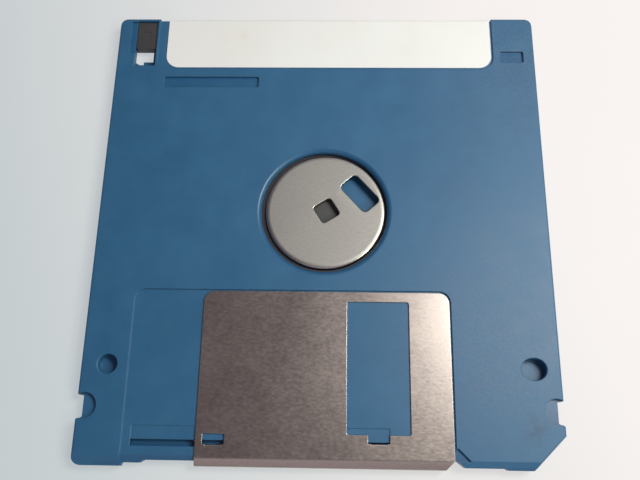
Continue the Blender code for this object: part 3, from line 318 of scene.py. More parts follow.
def blue_plastic():
    """Satin blue moulding, a little uneven in tone, with light scuffs, dust, a smudge, painted sheen and
    painted shade.
    """
    depth = {"Subsurface_Weight": 0.12, "Subsurface_Scale": 0.0012}
    material, tree, shader = new_finish("blue_plastic", 0.47, IOR=1.54, **depth)
    grain = use_effect(tree, grain_effect)
    scuffs = use_effect(tree, scuff_effect, Share=0.42)["Mask"]
    dust = use_effect(tree, dust_effect, Share=0.12)["Mask"]
    edges = use_effect(tree, edge_effect)
    uneven = remap(tree, grain["Unevenness"], 0.3, 0.7)
    base = blend_colours(tree, uneven, (0.022, 0.118, 0.250), (0.028, 0.138, 0.282))
    rubbed = blend_colours(tree, calculate(tree, "MULTIPLY", scuffs, 0.05), base, (0.10, 0.24, 0.38))
    # Edges are lightened both as rubbed wear and as a painted highlight.
    wear_and_edge_highlight = blend_colours(tree, calculate(tree, "MULTIPLY", edges["Wear And Highlight"], 0.35), rubbed, (0.10, 0.26, 0.42))
    dusted = blend_colours(tree, calculate(tree, "MULTIPLY", dust, 0.35), wear_and_edge_highlight, (0.30, 0.36, 0.42))
    smudge = use_effect(tree, smudge_and_sheen_effect, Place=SMUDGE_PLACE, Reach=SMUDGE_REACH)["Mask"]
    handling_and_sheen = blend_colours(tree, calculate(tree, "MULTIPLY", smudge, 0.9), dusted, SMUDGE_BLUE)
    # The greyer patches at the right are finger film and painted sheen.
    for place in FINGER_FILM_AND_SHEEN_PLACES:
        spread = {"Place": place, "Reach": FINGER_FILM_AND_SHEEN_REACH, "Patch Scale": 2600.0}
        film_and_sheen = use_effect(tree, smudge_and_sheen_effect, **spread)["Mask"]
        handling_and_sheen = blend_colours(tree, calculate(tree, "MULTIPLY", film_and_sheen, 0.26), handling_and_sheen, FINGER_FILM_AND_SHEEN_GREY)
    # Recess floors and the hub window's rim are smoother, and their colour is darkened as painted shade.
    rim = use_effect(tree, rim_effect)
    polished_and_shaded = calculate(tree, "MAXIMUM", use_effect(tree, recess_polish_and_shade_effect)["Mask"], rim["Mask"])
    painted_recess_shade = blend_colours(tree, 1.0, handling_and_sheen, (0.80, 0.87, 0.92), "MULTIPLY")
    tree.links.new(blend_colours(tree, polished_and_shaded, handling_and_sheen, painted_recess_shade), shader.inputs["Base Color"])
    rough = remap(tree, grain["Unevenness"], 0.3, 0.7, 0.44, 0.51)
    smooth = calculate(tree, "MULTIPLY", polished_and_shaded, 0.14)
    tree.links.new(calculate(tree, "SUBTRACT", rough, smooth), shader.inputs["Roughness"])
    shape = add_node(tree, "Mix", {"Factor": rim["Mask"]}, data_type="VECTOR")
    tree.links.new(edges["Normal"], shape.inputs[4])
    tree.links.new(rim["Normal"], shape.inputs[5])
    raise_surface(tree, shader, grain["Height"], 0.000012, shape.outputs[1])
    return material


def finish_node(name, material):
    """Gives a CAD node its finish."""
    nodes[name].data.materials.clear()
    nodes[name].data.materials.append(material)


shell_finish = blue_plastic()
finish_node("label_side_shell", shell_finish)


# Liner lifter.
# A thin leaf of cloudy polyester film, arched across its width, that presses the lower liner to the disc.
# It lies loose in a shallow pocket of the lower shell.
def cloudy_film():
    material, tree, shader = new_finish("clear_leaf", 0.3)
    haze = clouds(tree, object_space(tree), 400.0, 4.0)
    tone = blend_colours(tree, haze, (0.50, 0.53, 0.55), (0.66, 0.68, 0.68))
    tree.links.new(tone, shader.inputs["Base Color"])
    return material


finish_node("liner_lifter", cloudy_film())


# Liners.
# Two rings of non-woven fleece, heat-bonded to the inside of each shell, which wipe the film as it turns.
# They are cut away round the head window.
def fleece():
    material, tree, shader = new_finish("liner_fleece", 0.95, Sheen_Weight=0.3)
    place = object_space(tree)
    fibres = None
    for turn in (0.2, 1.3, 2.4):
        combed = {"Vector": place, "Rotation": (0, 0, turn), "Scale": (700, 9000, 3000)}
        laid = add_node(tree, "Mapping", combed)
        strand = clouds(tree, laid.outputs[0], 1.0, 2.0)
        fibres = strand if fibres is None else calculate(tree, "MAXIMUM", fibres, strand)
    tone = blend_colours(tree, remap(tree, fibres, 0.4, 0.75), (0.60, 0.60, 0.57), (0.82, 0.82, 0.80))
    tree.links.new(tone, shader.inputs["Base Color"])
    raise_surface(tree, shader, fibres, 0.00006)
    return material


def add_object(name, data):
    made = bpy.data.objects.new(name, data)
    bpy.context.scene.collection.objects.link(made)
    return made


def add_piece(name, mesh, material):
    """Object on a mesh, with its finish."""
    made = add_object(name, mesh)
    made.data.materials.clear()
    made.data.materials.append(material)
    return made


def arc(centre, radius, start, end, steps):
    """Points on an arc between two bearings in degrees."""
    turns = [math.radians(start + (end - start) * i / steps) for i in range(steps + 1)]
    return [(centre[0] + radius * math.cos(a), centre[1] + radius * math.sin(a)) for a in turns]


def rounded_box_loop(size, radius, steps=6):
    """Outline of a rounded rectangle about the origin."""
    x, y = size[0] / 2 - radius, size[1] / 2 - radius
    points = []
    for cx, cy, start in ((x, y, 0), (-x, y, 90), (-x, -y, 180), (x, -y, 270)):
        points += arc((cx, cy), radius, start, start + 90, steps)
    return points


def moved_loop(loop, x, y, turn=0.0):
    return [tuple(Matrix.Rotation(turn, 2) @ Vector(p) + Vector((x, y))) for p in loop]


def prism(loop, low, high):
    """Upright solid on an outline, as a bmesh."""
    work = bmesh.new()
    bottom = [work.verts.new((x, y, low)) for x, y in loop]
    upper = [work.verts.new((x, y, high)) for x, y in loop]
    work.faces.new(bottom[::-1])
    work.faces.new(upper)
    for i in range(len(loop)):
        j = (i + 1) % len(loop)
        work.faces.new((bottom[i], bottom[j], upper[j], upper[i]))
    bmesh.ops.recalc_face_normals(work, faces=work.faces)
    return work


def mesh_of(work, name):
    """Turns a bmesh into a mesh and frees it."""
    mesh = bpy.data.meshes.new(name)
    work.to_mesh(mesh)
    work.free()
    return mesh


def evaluated_mesh(target):
    """Mesh of an object with its modifiers applied, or of a curve."""
    bpy.context.view_layer.update()
    graph = bpy.context.evaluated_depsgraph_get()
    return bpy.data.meshes.new_from_object(target.evaluated_get(graph))


def combine(target, operation, *others):
    """Cuts, joins or intersects bmesh solids with a mesh object by exact Booleans, and applies them."""
    for other in others:
        tool = add_object("tool", mesh_of(other, "tool"))
        modifier = target.modifiers.new("combined", "BOOLEAN")
        modifier.operation = operation
        modifier.solver = "EXACT"
        modifier.object = tool
        mesh = evaluated_mesh(target)
        target.modifiers.clear()
        target.data = mesh
        bpy.data.objects.remove(tool)


PAST = 0.001
LINER_OUTER = 0.0425
LINER_SLOT = (0.0102, 0.0600)
LINER_SLOT_TOP = -0.0155
LINER_SLOT_CORNER = 0.0012
LINER_LOFT = 0.00006
LINER_FRAY = 0.00015
FRAY_WAVES = 40
NAP_WAVES = 900
liner_finish = fleece()


def fleece_point(radius, angle, seed):
    """Point on the ring's plan, moved a little in or out where the edge is frayed."""
    frayed = 0.0
    if seed is not None:
        spot = Vector((FRAY_WAVES * math.cos(angle), FRAY_WAVES * math.sin(angle), seed))
        frayed = LINER_FRAY * noise.noise(spot)
    return (radius + frayed) * math.cos(angle), (radius + frayed) * math.sin(angle) + DISC_CENTRE_Y


def fleece_ring(node, name, inner, fluffy_side):
    """Ring of fleece with an uneven napped face towards the film, cut away at the head window."""
    low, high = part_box(node)
    rings, steps = 26, 200
    work = bmesh.new()
    sides = []
    for face in (-1, 1):
        rows = []
        for i in range(rings + 1):
            radius = inner + (LINER_OUTER - inner) * i / rings
            row = []
            for k in range(steps):
                x, y = fleece_point(radius, 2 * math.pi * k / steps, i if i in (0, rings) else None)
                nap = 0.0
                if face == fluffy_side:
                    spot = Vector((NAP_WAVES * x, NAP_WAVES * y, face))
                    nap = LINER_LOFT * (0.5 + 0.5 * noise.noise(spot))
                row.append(work.verts.new((x, y, high.z - nap if face > 0 else low.z + nap)))
            rows.append(row)
        sides.append(rows)
    for rows in sides:
        for i in range(rings):
            for k in range(steps):
                j = (k + 1) % steps
                work.faces.new((rows[i][k], rows[i + 1][k], rows[i + 1][j], rows[i][j]))
    for edge in (0, rings):
        for k in range(steps):
            j = (k + 1) % steps
            work.faces.new((sides[0][edge][k], sides[0][edge][j], sides[1][edge][j], sides[1][edge][k]))
    bmesh.ops.recalc_face_normals(work, faces=work.faces)
    ring = add_piece(name, mesh_of(work, name), liner_finish)
    slot_middle = LINER_SLOT_TOP - LINER_SLOT[1] / 2
    slot_loop = moved_loop(rounded_box_loop(LINER_SLOT, LINER_SLOT_CORNER), 0.0, slot_middle)
    combine(ring, "DIFFERENCE", prism(slot_loop, low.z - PAST, high.z + PAST))
    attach(ring, "case")
    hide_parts(node)
    return ring


for node, name, inner, fluffy_side, shell in (
    ("label_side_liner", "lower_fleece", 0.01315, 1, "label_side_shell"),
    ("hub_side_liner", "upper_fleece", 0.0164, -1, "hub_side_shell"),
):
    ring = fleece_ring(node, name, inner, fluffy_side)


# Wear pad.
# A small disc of dark low-friction plastic in the middle of the lower shell, seen through the spindle hole.
def pad_plastic():
    material, tree, shader = new_finish("grey_plastic", 0.5)
    grain = use_effect(tree, grain_effect, **{"Grain Size": 0.00015})
    tone = blend_colours(tree, grain["Unevenness"], (0.050, 0.052, 0.055), (0.085, 0.086, 0.088))
    tree.links.new(tone, shader.inputs["Base Color"])
    raise_surface(tree, shader, grain["Height"], 0.00001)
    return material


finish_node("centre_wear_pad", pad_plastic())


# Magnetic disc and its ring of adhesive.
# Polyester film with a dark brown magnetic coating, glued under the hub's flange. It turns about the hub's
# axis.
DISC_CENTRE = (0.00075, DISC_CENTRE_Y, 0.0021)


def coated_film():
    """Dark brown coating with fine rings left by the head and a faint cloudiness."""
    material, tree, shader = new_finish("magnetic_film", 0.25, Coat_Weight=0.2, Coat_Roughness=0.1)
    place = object_space(tree)
    away = add_node(tree, "VectorMath", {0: place, 1: DISC_CENTRE}, operation="DISTANCE").outputs["Value"]
    ringed = {"Scale": 9000.0, "Detail": 4.0, "W": away}
    rings = add_node(tree, "TexNoise", ringed, noise_dimensions="1D").outputs["Fac"]
    cloudy = calculate(tree, "ADD", rings, clouds(tree, place, 120.0, 5.0))
    marked = calculate(tree, "MULTIPLY", cloudy, 0.5)
    tone = blend_colours(tree, remap(tree, marked, 0.35, 0.65), (0.026, 0.017, 0.012), (0.058, 0.041, 0.030))
    tree.links.new(tone, shader.inputs["Base Color"])
    tree.links.new(remap(tree, rings, 0.3, 0.7, 0.17, 0.30), shader.inputs["Roughness"])
    return material


def set_adhesive():
    material, tree, shader = new_finish("adhesive", 0.65)
    mottle = clouds(tree, object_space(tree), 900.0, 3.0)
    tone = blend_colours(tree, mottle, (0.30, 0.25, 0.16), (0.42, 0.36, 0.25))
    tree.links.new(tone, shader.inputs["Base Color"])
    return material


finish_node("magnetic_disc", coated_film())
finish_node("hub_adhesive_ring", set_adhesive())


# Hub.
# Pressed from stainless sheet: a flat raised plate with a rounded edge, a short skirt and a flange. It has a
# square spindle hole and a drive slot, both blanked, so their edges are slightly rolled over.
def sheet_grain():
    """Grain of rolled and tumbled steel: short fine lines along X and small bright and dark grains."""
    tree, given, output = effect_group(
        "sheet_grain",
        [
            ("Line Length", "Float", 0.003),
            ("Line Width", "Float", 0.00012),
            ("Speckle Size", "Float", 0.0003),
        ],
        [("Height", "Float"), ("Tone", "Float"), ("Stain", "Float"), ("Spangle", "Float")],
    )
    place = object_space(tree)
    slanted = {"Vector": place, "Rotation": (0, 0, 0.7), "Scale": (1100, 2000, 1000)}
    turned = add_node(tree, "Mapping", slanted)
    tree.links.new(clouds(tree, turned.outputs[0], 1.0, 2.0), output["Spangle"])
    x, y, z = split_axes(tree, place)
    along = add_node(tree, "CombineXYZ", {
        "X": calculate(tree, "DIVIDE", x, given["Line Length"]),
        "Y": calculate(tree, "DIVIDE", y, given["Line Width"]),
        "Z": calculate(tree, "DIVIDE", z, given["Line Width"]),
    })
    lines = clouds(tree, along.outputs[0], 1.0, 3.0, 0.6)
    speckle = clouds(tree, place, calculate(tree, "DIVIDE", 1.0, given["Speckle Size"]), 2.0)
    both = calculate(tree, "ADD", lines, speckle)
    tree.links.new(both, output["Height"])
    tree.links.new(calculate(tree, "MULTIPLY", both, 0.5), output["Tone"])
    tree.links.new(clouds(tree, place, 110.0, 5.0, 0.6), output["Stain"])
    return tree


sheet_effect = sheet_grain()
hub_low, hub_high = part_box("hub")
PAINTED_SHADE_BELOW = 0.0006
BRIGHT_ABOVE = 0.0003


def pressed_steel():
    """Tumbled steel, bright on the raised plate, with the flange and its foot painted dark as shade."""
    material, tree, shader = new_finish("hub_steel", 0.5, 1.0)
    grain = use_effect(tree, sheet_effect, **{"Line Length": 0.0012, "Line Width": 0.0002})
    mixed = remap(tree, grain["Tone"], 0.35, 0.65)
    tone = blend_colours(tree, mixed, (0.375, 0.366, 0.348), (0.465, 0.452, 0.43))
    height = split_axes(tree, object_space(tree))[2]
    # Below the plate the colour fades to near black: painted shade on the flange and its foot.
    raised = remap(tree, height, hub_high.z - PAINTED_SHADE_BELOW, hub_high.z - BRIGHT_ABOVE)
    tree.links.new(blend_colours(tree, raised, (0.085, 0.075, 0.08), tone), shader.inputs["Base Color"])
    level = split_axes(tree, add_node(tree, "NewGeometry").outputs["Normal"])[2]
    rough = remap(tree, grain["Stain"], 0.3, 0.7, 0.51, 0.58)
    burnished = remap(tree, level, 0.90, 0.998, 0.30, 0.0)
    tree.links.new(calculate(tree, "SUBTRACT", rough, burnished), shader.inputs["Roughness"])
    raise_surface(tree, shader, grain["Height"], 0.000004)
    return material


def ease_edges(target, width, segments=2, angle=35):
    """Rounds the sharp edges of a piece and shades its curved faces smooth."""
    bevel = target.modifiers.new("eased", "BEVEL")
    bevel.width = width
    bevel.segments = segments
    bevel.limit_method = "ANGLE"
    bevel.angle_limit = math.radians(angle)
    bevel.harden_normals = True
    bevel.use_clamp_overlap = True
    target.data.shade_smooth()
    even = target.modifiers.new("even", "WEIGHTED_NORMAL")
    even.keep_sharp = True


hub_middle = (hub_low + hub_high) / 2
HUB_PLATE_RADIUS = 0.01205
HUB_SHEET = 0.0003
HUB_CROWN = 0.0020
HUB_CROWN_ANGLE = 20
HUB_BEND = 0.0005
HUB_ROOT_BEND = 0.00015
HUB_ROLL = 0.00022
HUB_FLANGE_EDGE = 0.00008
HUB_FLANGE_FOOT = 0.00005
HUB_EASE = 0.00003
HUB_STEPS = 160
HOLE_FROM = 0.001
ROLL_STEPS = 5
SPINDLE_HOLE = (0.0040, 0.0040)
SPINDLE_HOLE_CORNER = 0.0006
SPINDLE_HOLE_SHIFT = (0.0002, 0.0001)
SPINDLE_HOLE_TURN = math.radians(32)
DRIVE_SLOT = (0.0076, 0.0042)
DRIVE_SLOT_CORNER = 0.0009
DRIVE_SLOT_OUT = 0.0079
DRIVE_SLOT_BEARING = math.radians(29)
DRIVE_SLOT_TURN = math.radians(-48)


def crowned_edge(offset):
    """Section of the plate's edge at an offset under its face: a gentle crown and then a tighter bend."""
    lean = math.radians(HUB_CROWN_ANGLE)
    bend_x = HUB_PLATE_RADIUS - HUB_BEND
    crown_x = bend_x - (HUB_CROWN - HUB_BEND) * math.sin(lean)
    bend_z = hub_high.z - HUB_CROWN + (HUB_CROWN - HUB_BEND) * math.cos(lean)
    crown = arc((crown_x, hub_high.z - HUB_CROWN), HUB_CROWN - offset, 90, 90 - HUB_CROWN_ANGLE, 4)
    bend = arc((bend_x, bend_z), HUB_BEND - offset, 90 - HUB_CROWN_ANGLE, 0, 5)
    return crown + bend[1:]


def hub_profile():
    """Section of the pressed hub as (radius, height), from the axis over the top and back underneath."""
    flange = hub_low.z + HUB_SHEET
    radius = (hub_high.x - hub_low.x) / 2
    plate = HUB_PLATE_RADIUS
    upper = [(0, hub_high.z)] + crowned_edge(0.0)
    upper += arc((plate + HUB_ROOT_BEND, flange + HUB_ROOT_BEND), HUB_ROOT_BEND, 180, 270, 4)
    upper += [(radius - HUB_FLANGE_EDGE, flange), (radius, flange - HUB_FLANGE_EDGE)]
    upper += [(radius, hub_low.z + HUB_FLANGE_FOOT)]
    inner = [(radius - HUB_FLANGE_FOOT, hub_low.z), (plate - HUB_SHEET + HUB_ROOT_BEND, hub_low.z)]
    inner += crowned_edge(HUB_SHEET)[::-1]
    inner += [(0, hub_high.z - HUB_SHEET)]
    return upper + inner


def spun(profile, steps):
    """Closed solid of revolution about the Z axis, as a mesh."""
    work = bmesh.new()
    verts = [work.verts.new((r, 0, z)) for r, z in profile]
    edges = [work.edges.new((verts[i], verts[i + 1])) for i in range(len(verts) - 1)]
    bmesh.ops.spin(work, geom=verts + edges, cent=(0, 0, 0), axis=(0, 0, 1), angle=2 * math.pi, steps=steps)
    bmesh.ops.remove_doubles(work, verts=work.verts, dist=0.000002)
    bmesh.ops.recalc_face_normals(work, faces=work.faces)
    return mesh_of(work, "spun")


def lofted(rings):
    """Solid through loops of equally many points, each given as (loop, height), as a bmesh."""
    work = bmesh.new()
    rows = [[work.verts.new((x, y, z)) for x, y in loop] for loop, z in rings]
    for lower, upper in zip(rows, rows[1:]):
        for i in range(len(lower)):
            j = (i + 1) % len(lower)
            work.faces.new((lower[i], lower[j], upper[j], upper[i]))
    work.faces.new(rows[0][::-1])
    work.faces.new(rows[-1])
    bmesh.ops.recalc_face_normals(work, faces=work.faces)
    return work


def rolled_hole(size, corner, x, y, turn):
    """Waste of a blanked hole whose upper edge is rolled over."""
    rings = [(0.0, HOLE_FROM)]
    for k in range(ROLL_STEPS + 1):
        a = math.radians(90 * k / ROLL_STEPS)
        rings.append((HUB_ROLL * (1 - math.cos(a)), hub_high.z - HUB_ROLL + HUB_ROLL * math.sin(a)))
    rings.append((HUB_ROLL, hub_high.z + PAST))
    loops = []
    for grown, z in rings:
        loop = rounded_box_loop((size[0] + 2 * grown, size[1] + 2 * grown), corner + grown)
        loops.append((moved_loop(loop, x, y, turn), z))
    return lofted(loops)


hub = add_piece("pressed_hub", spun(hub_profile(), HUB_STEPS), pressed_steel())
slot_x = DRIVE_SLOT_OUT * math.cos(DRIVE_SLOT_BEARING)
slot_y = DRIVE_SLOT_OUT * math.sin(DRIVE_SLOT_BEARING)
square = rolled_hole(SPINDLE_HOLE, SPINDLE_HOLE_CORNER, *SPINDLE_HOLE_SHIFT, SPINDLE_HOLE_TURN)
slot = rolled_hole(DRIVE_SLOT, DRIVE_SLOT_CORNER, slot_x, slot_y, DRIVE_SLOT_TURN)
combine(hub, "DIFFERENCE", square, slot)
hub.location = (hub_middle.x, hub_middle.y, 0)
ease_edges(hub, HUB_EASE)
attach(hub, "disc")
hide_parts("hub")


# Shutter spring.
# Drawn spring wire bent into a little over one coil between two straight legs. One leg rests in the case's
# corner and the other pushes the shutter's tab.
def spring_wire():
    material, tree, shader = new_finish("spring_steel", 0.28, 1.0)
    drawn = clouds(tree, object_space(tree), 3000.0, 3.0)
    tone = blend_colours(tree, drawn, (0.36, 0.36, 0.37), (0.52, 0.52, 0.53))
    tree.links.new(tone, shader.inputs["Base Color"])
    return material


SPRING_ANCHOR = Vector((-0.0429, -0.0441, 0.0012))
SPRING_HOOK = Vector((-0.0210, -0.0431, 0.0021))
SPRING_BOW = 0.0038
SPRING_COIL = 0.0018
SPRING_WIRE = 0.0004


def spring_line():
    """Centre line of the wire: a leg from the case, a rising coil of over one turn, and a leg to the tab."""
    chord = (SPRING_HOOK - SPRING_ANCHOR).xy
    coil = (SPRING_ANCHOR.xy + SPRING_HOOK.xy) / 2 + Vector((-chord.y, chord.x)).normalized() * SPRING_BOW
    to_anchor, to_hook = SPRING_ANCHOR.xy - coil, SPRING_HOOK.xy - coil
    start = math.atan2(to_anchor.y, to_anchor.x) - math.acos(SPRING_COIL / to_anchor.length)
    end = math.atan2(to_hook.y, to_hook.x) + math.acos(SPRING_COIL / to_hook.length)
    sweep = (start - end) % (2 * math.pi) + 2 * math.pi
    steps = 72
    turns = []
    for k in range(steps + 1):
        a = start - sweep * k / steps
        place = coil + SPRING_COIL * Vector((math.cos(a), math.sin(a)))
        turns.append(Vector((*place, SPRING_ANCHOR.z + (SPRING_HOOK.z - SPRING_ANCHOR.z) * k / steps)))
    legs = 12
    first = [SPRING_ANCHOR.lerp(turns[0], k / legs) for k in range(legs)]
    last = [turns[-1].lerp(SPRING_HOOK, k / legs) for k in range(1, legs + 1)]
    return first + turns + last


def bent_wire(name, points, radius):
    """Round wire with filled ends along the points, as a mesh."""
    curve = bpy.data.curves.new(name, "CURVE")
    curve.dimensions = "3D"
    curve.bevel_depth = radius
    curve.bevel_resolution = 3
    curve.use_fill_caps = True
    spline = curve.splines.new("POLY")
    spline.points.add(len(points) - 1)
    for point, place in zip(spline.points, points):
        point.co = (*place, 1.0)
    made = add_object(name, curve)
    mesh = evaluated_mesh(made)
    bpy.data.objects.remove(made)
    return mesh


spring_mesh = bent_wire("bent_spring", spring_line(), SPRING_WIRE / 2)
spring = add_piece("bent_spring", spring_mesh, spring_wire())
spring.data.shade_smooth()
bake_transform(spring)
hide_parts("shutter_spring")


# Write protect slider.
# A small moulded block in near-black plastic, held by side flanges under the upper shell's face. A dimple
# takes a pen tip to move it.
def black_plastic():
    material, tree, shader = new_finish("black_plastic", 0.45)
    grain = use_effect(tree, grain_effect, **{"Grain Size": 0.00025})
    tone = blend_colours(tree, grain["Unevenness"], (0.042, 0.041, 0.043), (0.066, 0.064, 0.066))
    tree.links.new(tone, shader.inputs["Base Color"])
    raise_surface(tree, shader, grain["Height"], 0.000015)
    return material


slider_low, slider_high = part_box("write_protect_slider")
slider_finish = black_plastic()
SLIDER_CORNER = 0.0002
SLIDER_EASE = 0.00008
SLIDER_FLANGE = 0.0003
SLIDER_FLANGE_CORNER = 0.0001
SLIDER_FLANGE_TOP = 0.0021
SLIDER_DIMPLE = 0.0022
SLIDER_DIMPLE_CORNER = 0.0004
SLIDER_DIMPLE_DEPTH = 0.00008
SLIDER_DIMPLE_FLOOR = 0.8


def slider_block():
    """Block with two side flanges, a draft on its top edges and a shallow dimple with sloping walls."""
    middle = (slider_low + slider_high) / 2
    size = slider_high - slider_low
    body_loop = rounded_box_loop((size.x - 2 * SLIDER_FLANGE, size.y), SLIDER_CORNER)
    flange_loop = rounded_box_loop((size.x, size.y), SLIDER_FLANGE_CORNER)
    flange_loop = moved_loop(flange_loop, middle.x, middle.y)
    body = prism(moved_loop(body_loop, middle.x, middle.y), slider_low.z, slider_high.z)
    block = add_piece("slider_block", mesh_of(body, "slider"), slider_finish)
    combine(block, "UNION", prism(flange_loop, slider_low.z, SLIDER_FLANGE_TOP))
    dimple = prism(rounded_box_loop((SLIDER_DIMPLE, SLIDER_DIMPLE), SLIDER_DIMPLE_CORNER), 0.0, PAST)
    for vertex in dimple.verts:
        if vertex.co.z == 0.0:
            vertex.co.xy *= SLIDER_DIMPLE_FLOOR
        vertex.co += Vector((middle.x, middle.y, slider_high.z - SLIDER_DIMPLE_DEPTH))
    combine(block, "DIFFERENCE", dimple)
    ease_edges(block, SLIDER_EASE)
    return block


slider = slider_block()
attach(slider, "write_protect_slider")
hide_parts("write_protect_slider")


# Hub side shell.
# The upper half of the case, from the same blue moulding, with the hub window, the shutter's shallow path and
# the groove for its tabs.
finish_node("hub_side_shell", shell_finish)


# Shutter.
# Folded from satin stainless sheet 0.2 mm thick, with a window in each leaf. Two tabs are bent inwards and
# run in the groove.
def satin_sheet():
    material, tree, shader = new_finish("steel_sheet", 0.35, 1.0)
    grain = use_effect(tree, sheet_effect)
    mixed = remap(tree, grain["Tone"], 0.30, 0.70)
    tone = blend_colours(tree, mixed, (0.43, 0.372, 0.34), (0.54, 0.48, 0.44))
    dust = use_effect(tree, dust_effect, Share=0.05, **{"Speck Radius": 0.00011})["Mask"]
    dusted = blend_colours(tree, calculate(tree, "MULTIPLY", dust, 0.6), tone, (0.95, 0.92, 0.88))
    edges = use_effect(tree, edge_effect, **{"Radius": 0.00016, "Wear Reach": 0.25})
    # The sheet's edges are lightened as a painted highlight.
    rim = calculate(tree, "MULTIPLY", edges["Wear And Highlight"], 0.7)
    tree.links.new(blend_colours(tree, rim, dusted, (0.90, 0.88, 0.84)), shader.inputs["Base Color"])
    mottled = calculate(tree, "MULTIPLY", calculate(tree, "ADD", grain["Stain"], grain["Spangle"]), 0.5)
    tree.links.new(remap(tree, mottled, 0.35, 0.65, 0.27, 0.36), shader.inputs["Roughness"])
    lines = calculate(tree, "MULTIPLY", grain["Height"], 0.55)
    surface = calculate(tree, "ADD", lines, calculate(tree, "MULTIPLY", grain["Spangle"], 1.1))
    raise_surface(tree, shader, surface, 0.0000036, edges["Normal"])
    return material


SHEET = 0.0002
LEAF_HIGH = 0.00322
LEAF_LOW = 0.00008
SHUTTER_LEFT = -0.02245
SHUTTER_RIGHT = 0.02475
SHUTTER_TOP = -0.0144
SHUTTER_FRONT = -0.0469
FOLD_START = -0.0456
FOLD_DROP = 0.000756
TAB_REACH = 0.00202
WINDOW_LOW = -0.0410
WINDOW_WIDTH = 0.0118
WINDOW_RIM = 0.0019
WINDOW_CORNER = 0.0004
SHUTTER_WINDOW_X = 0.0111
SHUTTER_CORNER = 0.0020
FRONT_CUT = (0.0016, 0.0017)
CUT_MARGIN = 0.0005
FOLD_RADIUS = 0.0016
FRONT_RADIUS = 0.0005
TAB_HALF = 0.0015
NOTCH_HALF = 0.0020
TAB_ROOT = 0.0006
TAB_ROOT_CUT = (0.0004, 0.0001)
TAB_BENDS = (0.0001, 0.0003)
SHUTTER_EASE = 0.00003
TABS = ((SHUTTER_WINDOW_X, -0.0425, WINDOW_LOW + 0.0002), (-0.01915, -0.0430, -0.0411))
THROUGH_BOTH_LEAVES = (-0.001, 0.005)
THROUGH_UPPER_LEAF = (0.002, 0.005)
sheet_finish = satin_sheet()


def filleted(corners, steps=5):
    """Closed outline through (a, b, radius) corners, each rounded by its radius."""
    points = []
    for i, (a, b, radius) in enumerate(corners):
        here = Vector((a, b))
        back = (Vector(corners[i - 1][:2]) - here).normalized()
        ahead = (Vector(corners[(i + 1) % len(corners)][:2]) - here).normalized()
        if radius == 0:
            points.append((a, b))
            continue
        half = back.angle(ahead) / 2
        centre = here + (back + ahead).normalized() * radius / math.sin(half)
        first = here + back * radius / math.tan(half) - centre
        last = here + ahead * radius / math.tan(half) - centre
        for k in range(steps + 1):
            spoke = first.lerp(last, k / steps).normalized() * radius
            points.append(tuple(centre + spoke))
    return points


def bar(section, left, right):
    """Solid with a section in (y, z), along X, as a bmesh."""
    work = prism(section, left, right)
    for vertex in work.verts:
        a, b, c = vertex.co
        vertex.co = (c, a, b)
    bmesh.ops.recalc_face_normals(work, faces=work.faces)
    return work


def folded_section():
    """Section of the sheet: the upper leaf, the bevelled fold round the front edge, and the lower leaf."""
    lean = math.atan(FOLD_DROP / (FOLD_START - SHUTTER_FRONT))
    along = SHEET * math.tan(lean / 2)
    down = SHEET * math.tan((math.pi / 2 - lean) / 2)
    outside = [
        (SHUTTER_TOP, LEAF_HIGH, 0),
        (FOLD_START, LEAF_HIGH, FOLD_RADIUS),
        (SHUTTER_FRONT, LEAF_HIGH - FOLD_DROP, FRONT_RADIUS),
        (SHUTTER_FRONT, LEAF_LOW + FOLD_DROP, FRONT_RADIUS),
        (FOLD_START, LEAF_LOW, FOLD_RADIUS),
        (SHUTTER_TOP, LEAF_LOW, 0),
    ]
    inside = [
        (SHUTTER_TOP, LEAF_LOW + SHEET, 0),
        (FOLD_START + along, LEAF_LOW + SHEET, FOLD_RADIUS - SHEET),
        (SHUTTER_FRONT + SHEET, LEAF_LOW + FOLD_DROP + down, FRONT_RADIUS - SHEET),
        (SHUTTER_FRONT + SHEET, LEAF_HIGH - FOLD_DROP - down, FRONT_RADIUS - SHEET),
        (FOLD_START + along, LEAF_HIGH - SHEET, FOLD_RADIUS - SHEET),
        (SHUTTER_TOP, LEAF_HIGH - SHEET, 0),
    ]
    return filleted(outside + inside)


def tab_section(edge):
    """Section of a tab bent down from the upper leaf's cut edge at y = edge."""
    return filleted([
        (edge - TAB_ROOT, LEAF_HIGH, 0),
        (edge - TAB_ROOT, LEAF_HIGH - SHEET, 0),
        (edge - SHEET, LEAF_HIGH - SHEET, TAB_BENDS[0]),
        (edge - SHEET, TAB_REACH, 0),
        (edge, TAB_REACH, 0),
        (edge, LEAF_HIGH, TAB_BENDS[1]),
    ])


def rectangle(left, right, low, high):
    return [(left, low), (right, low), (right, high), (left, high)]


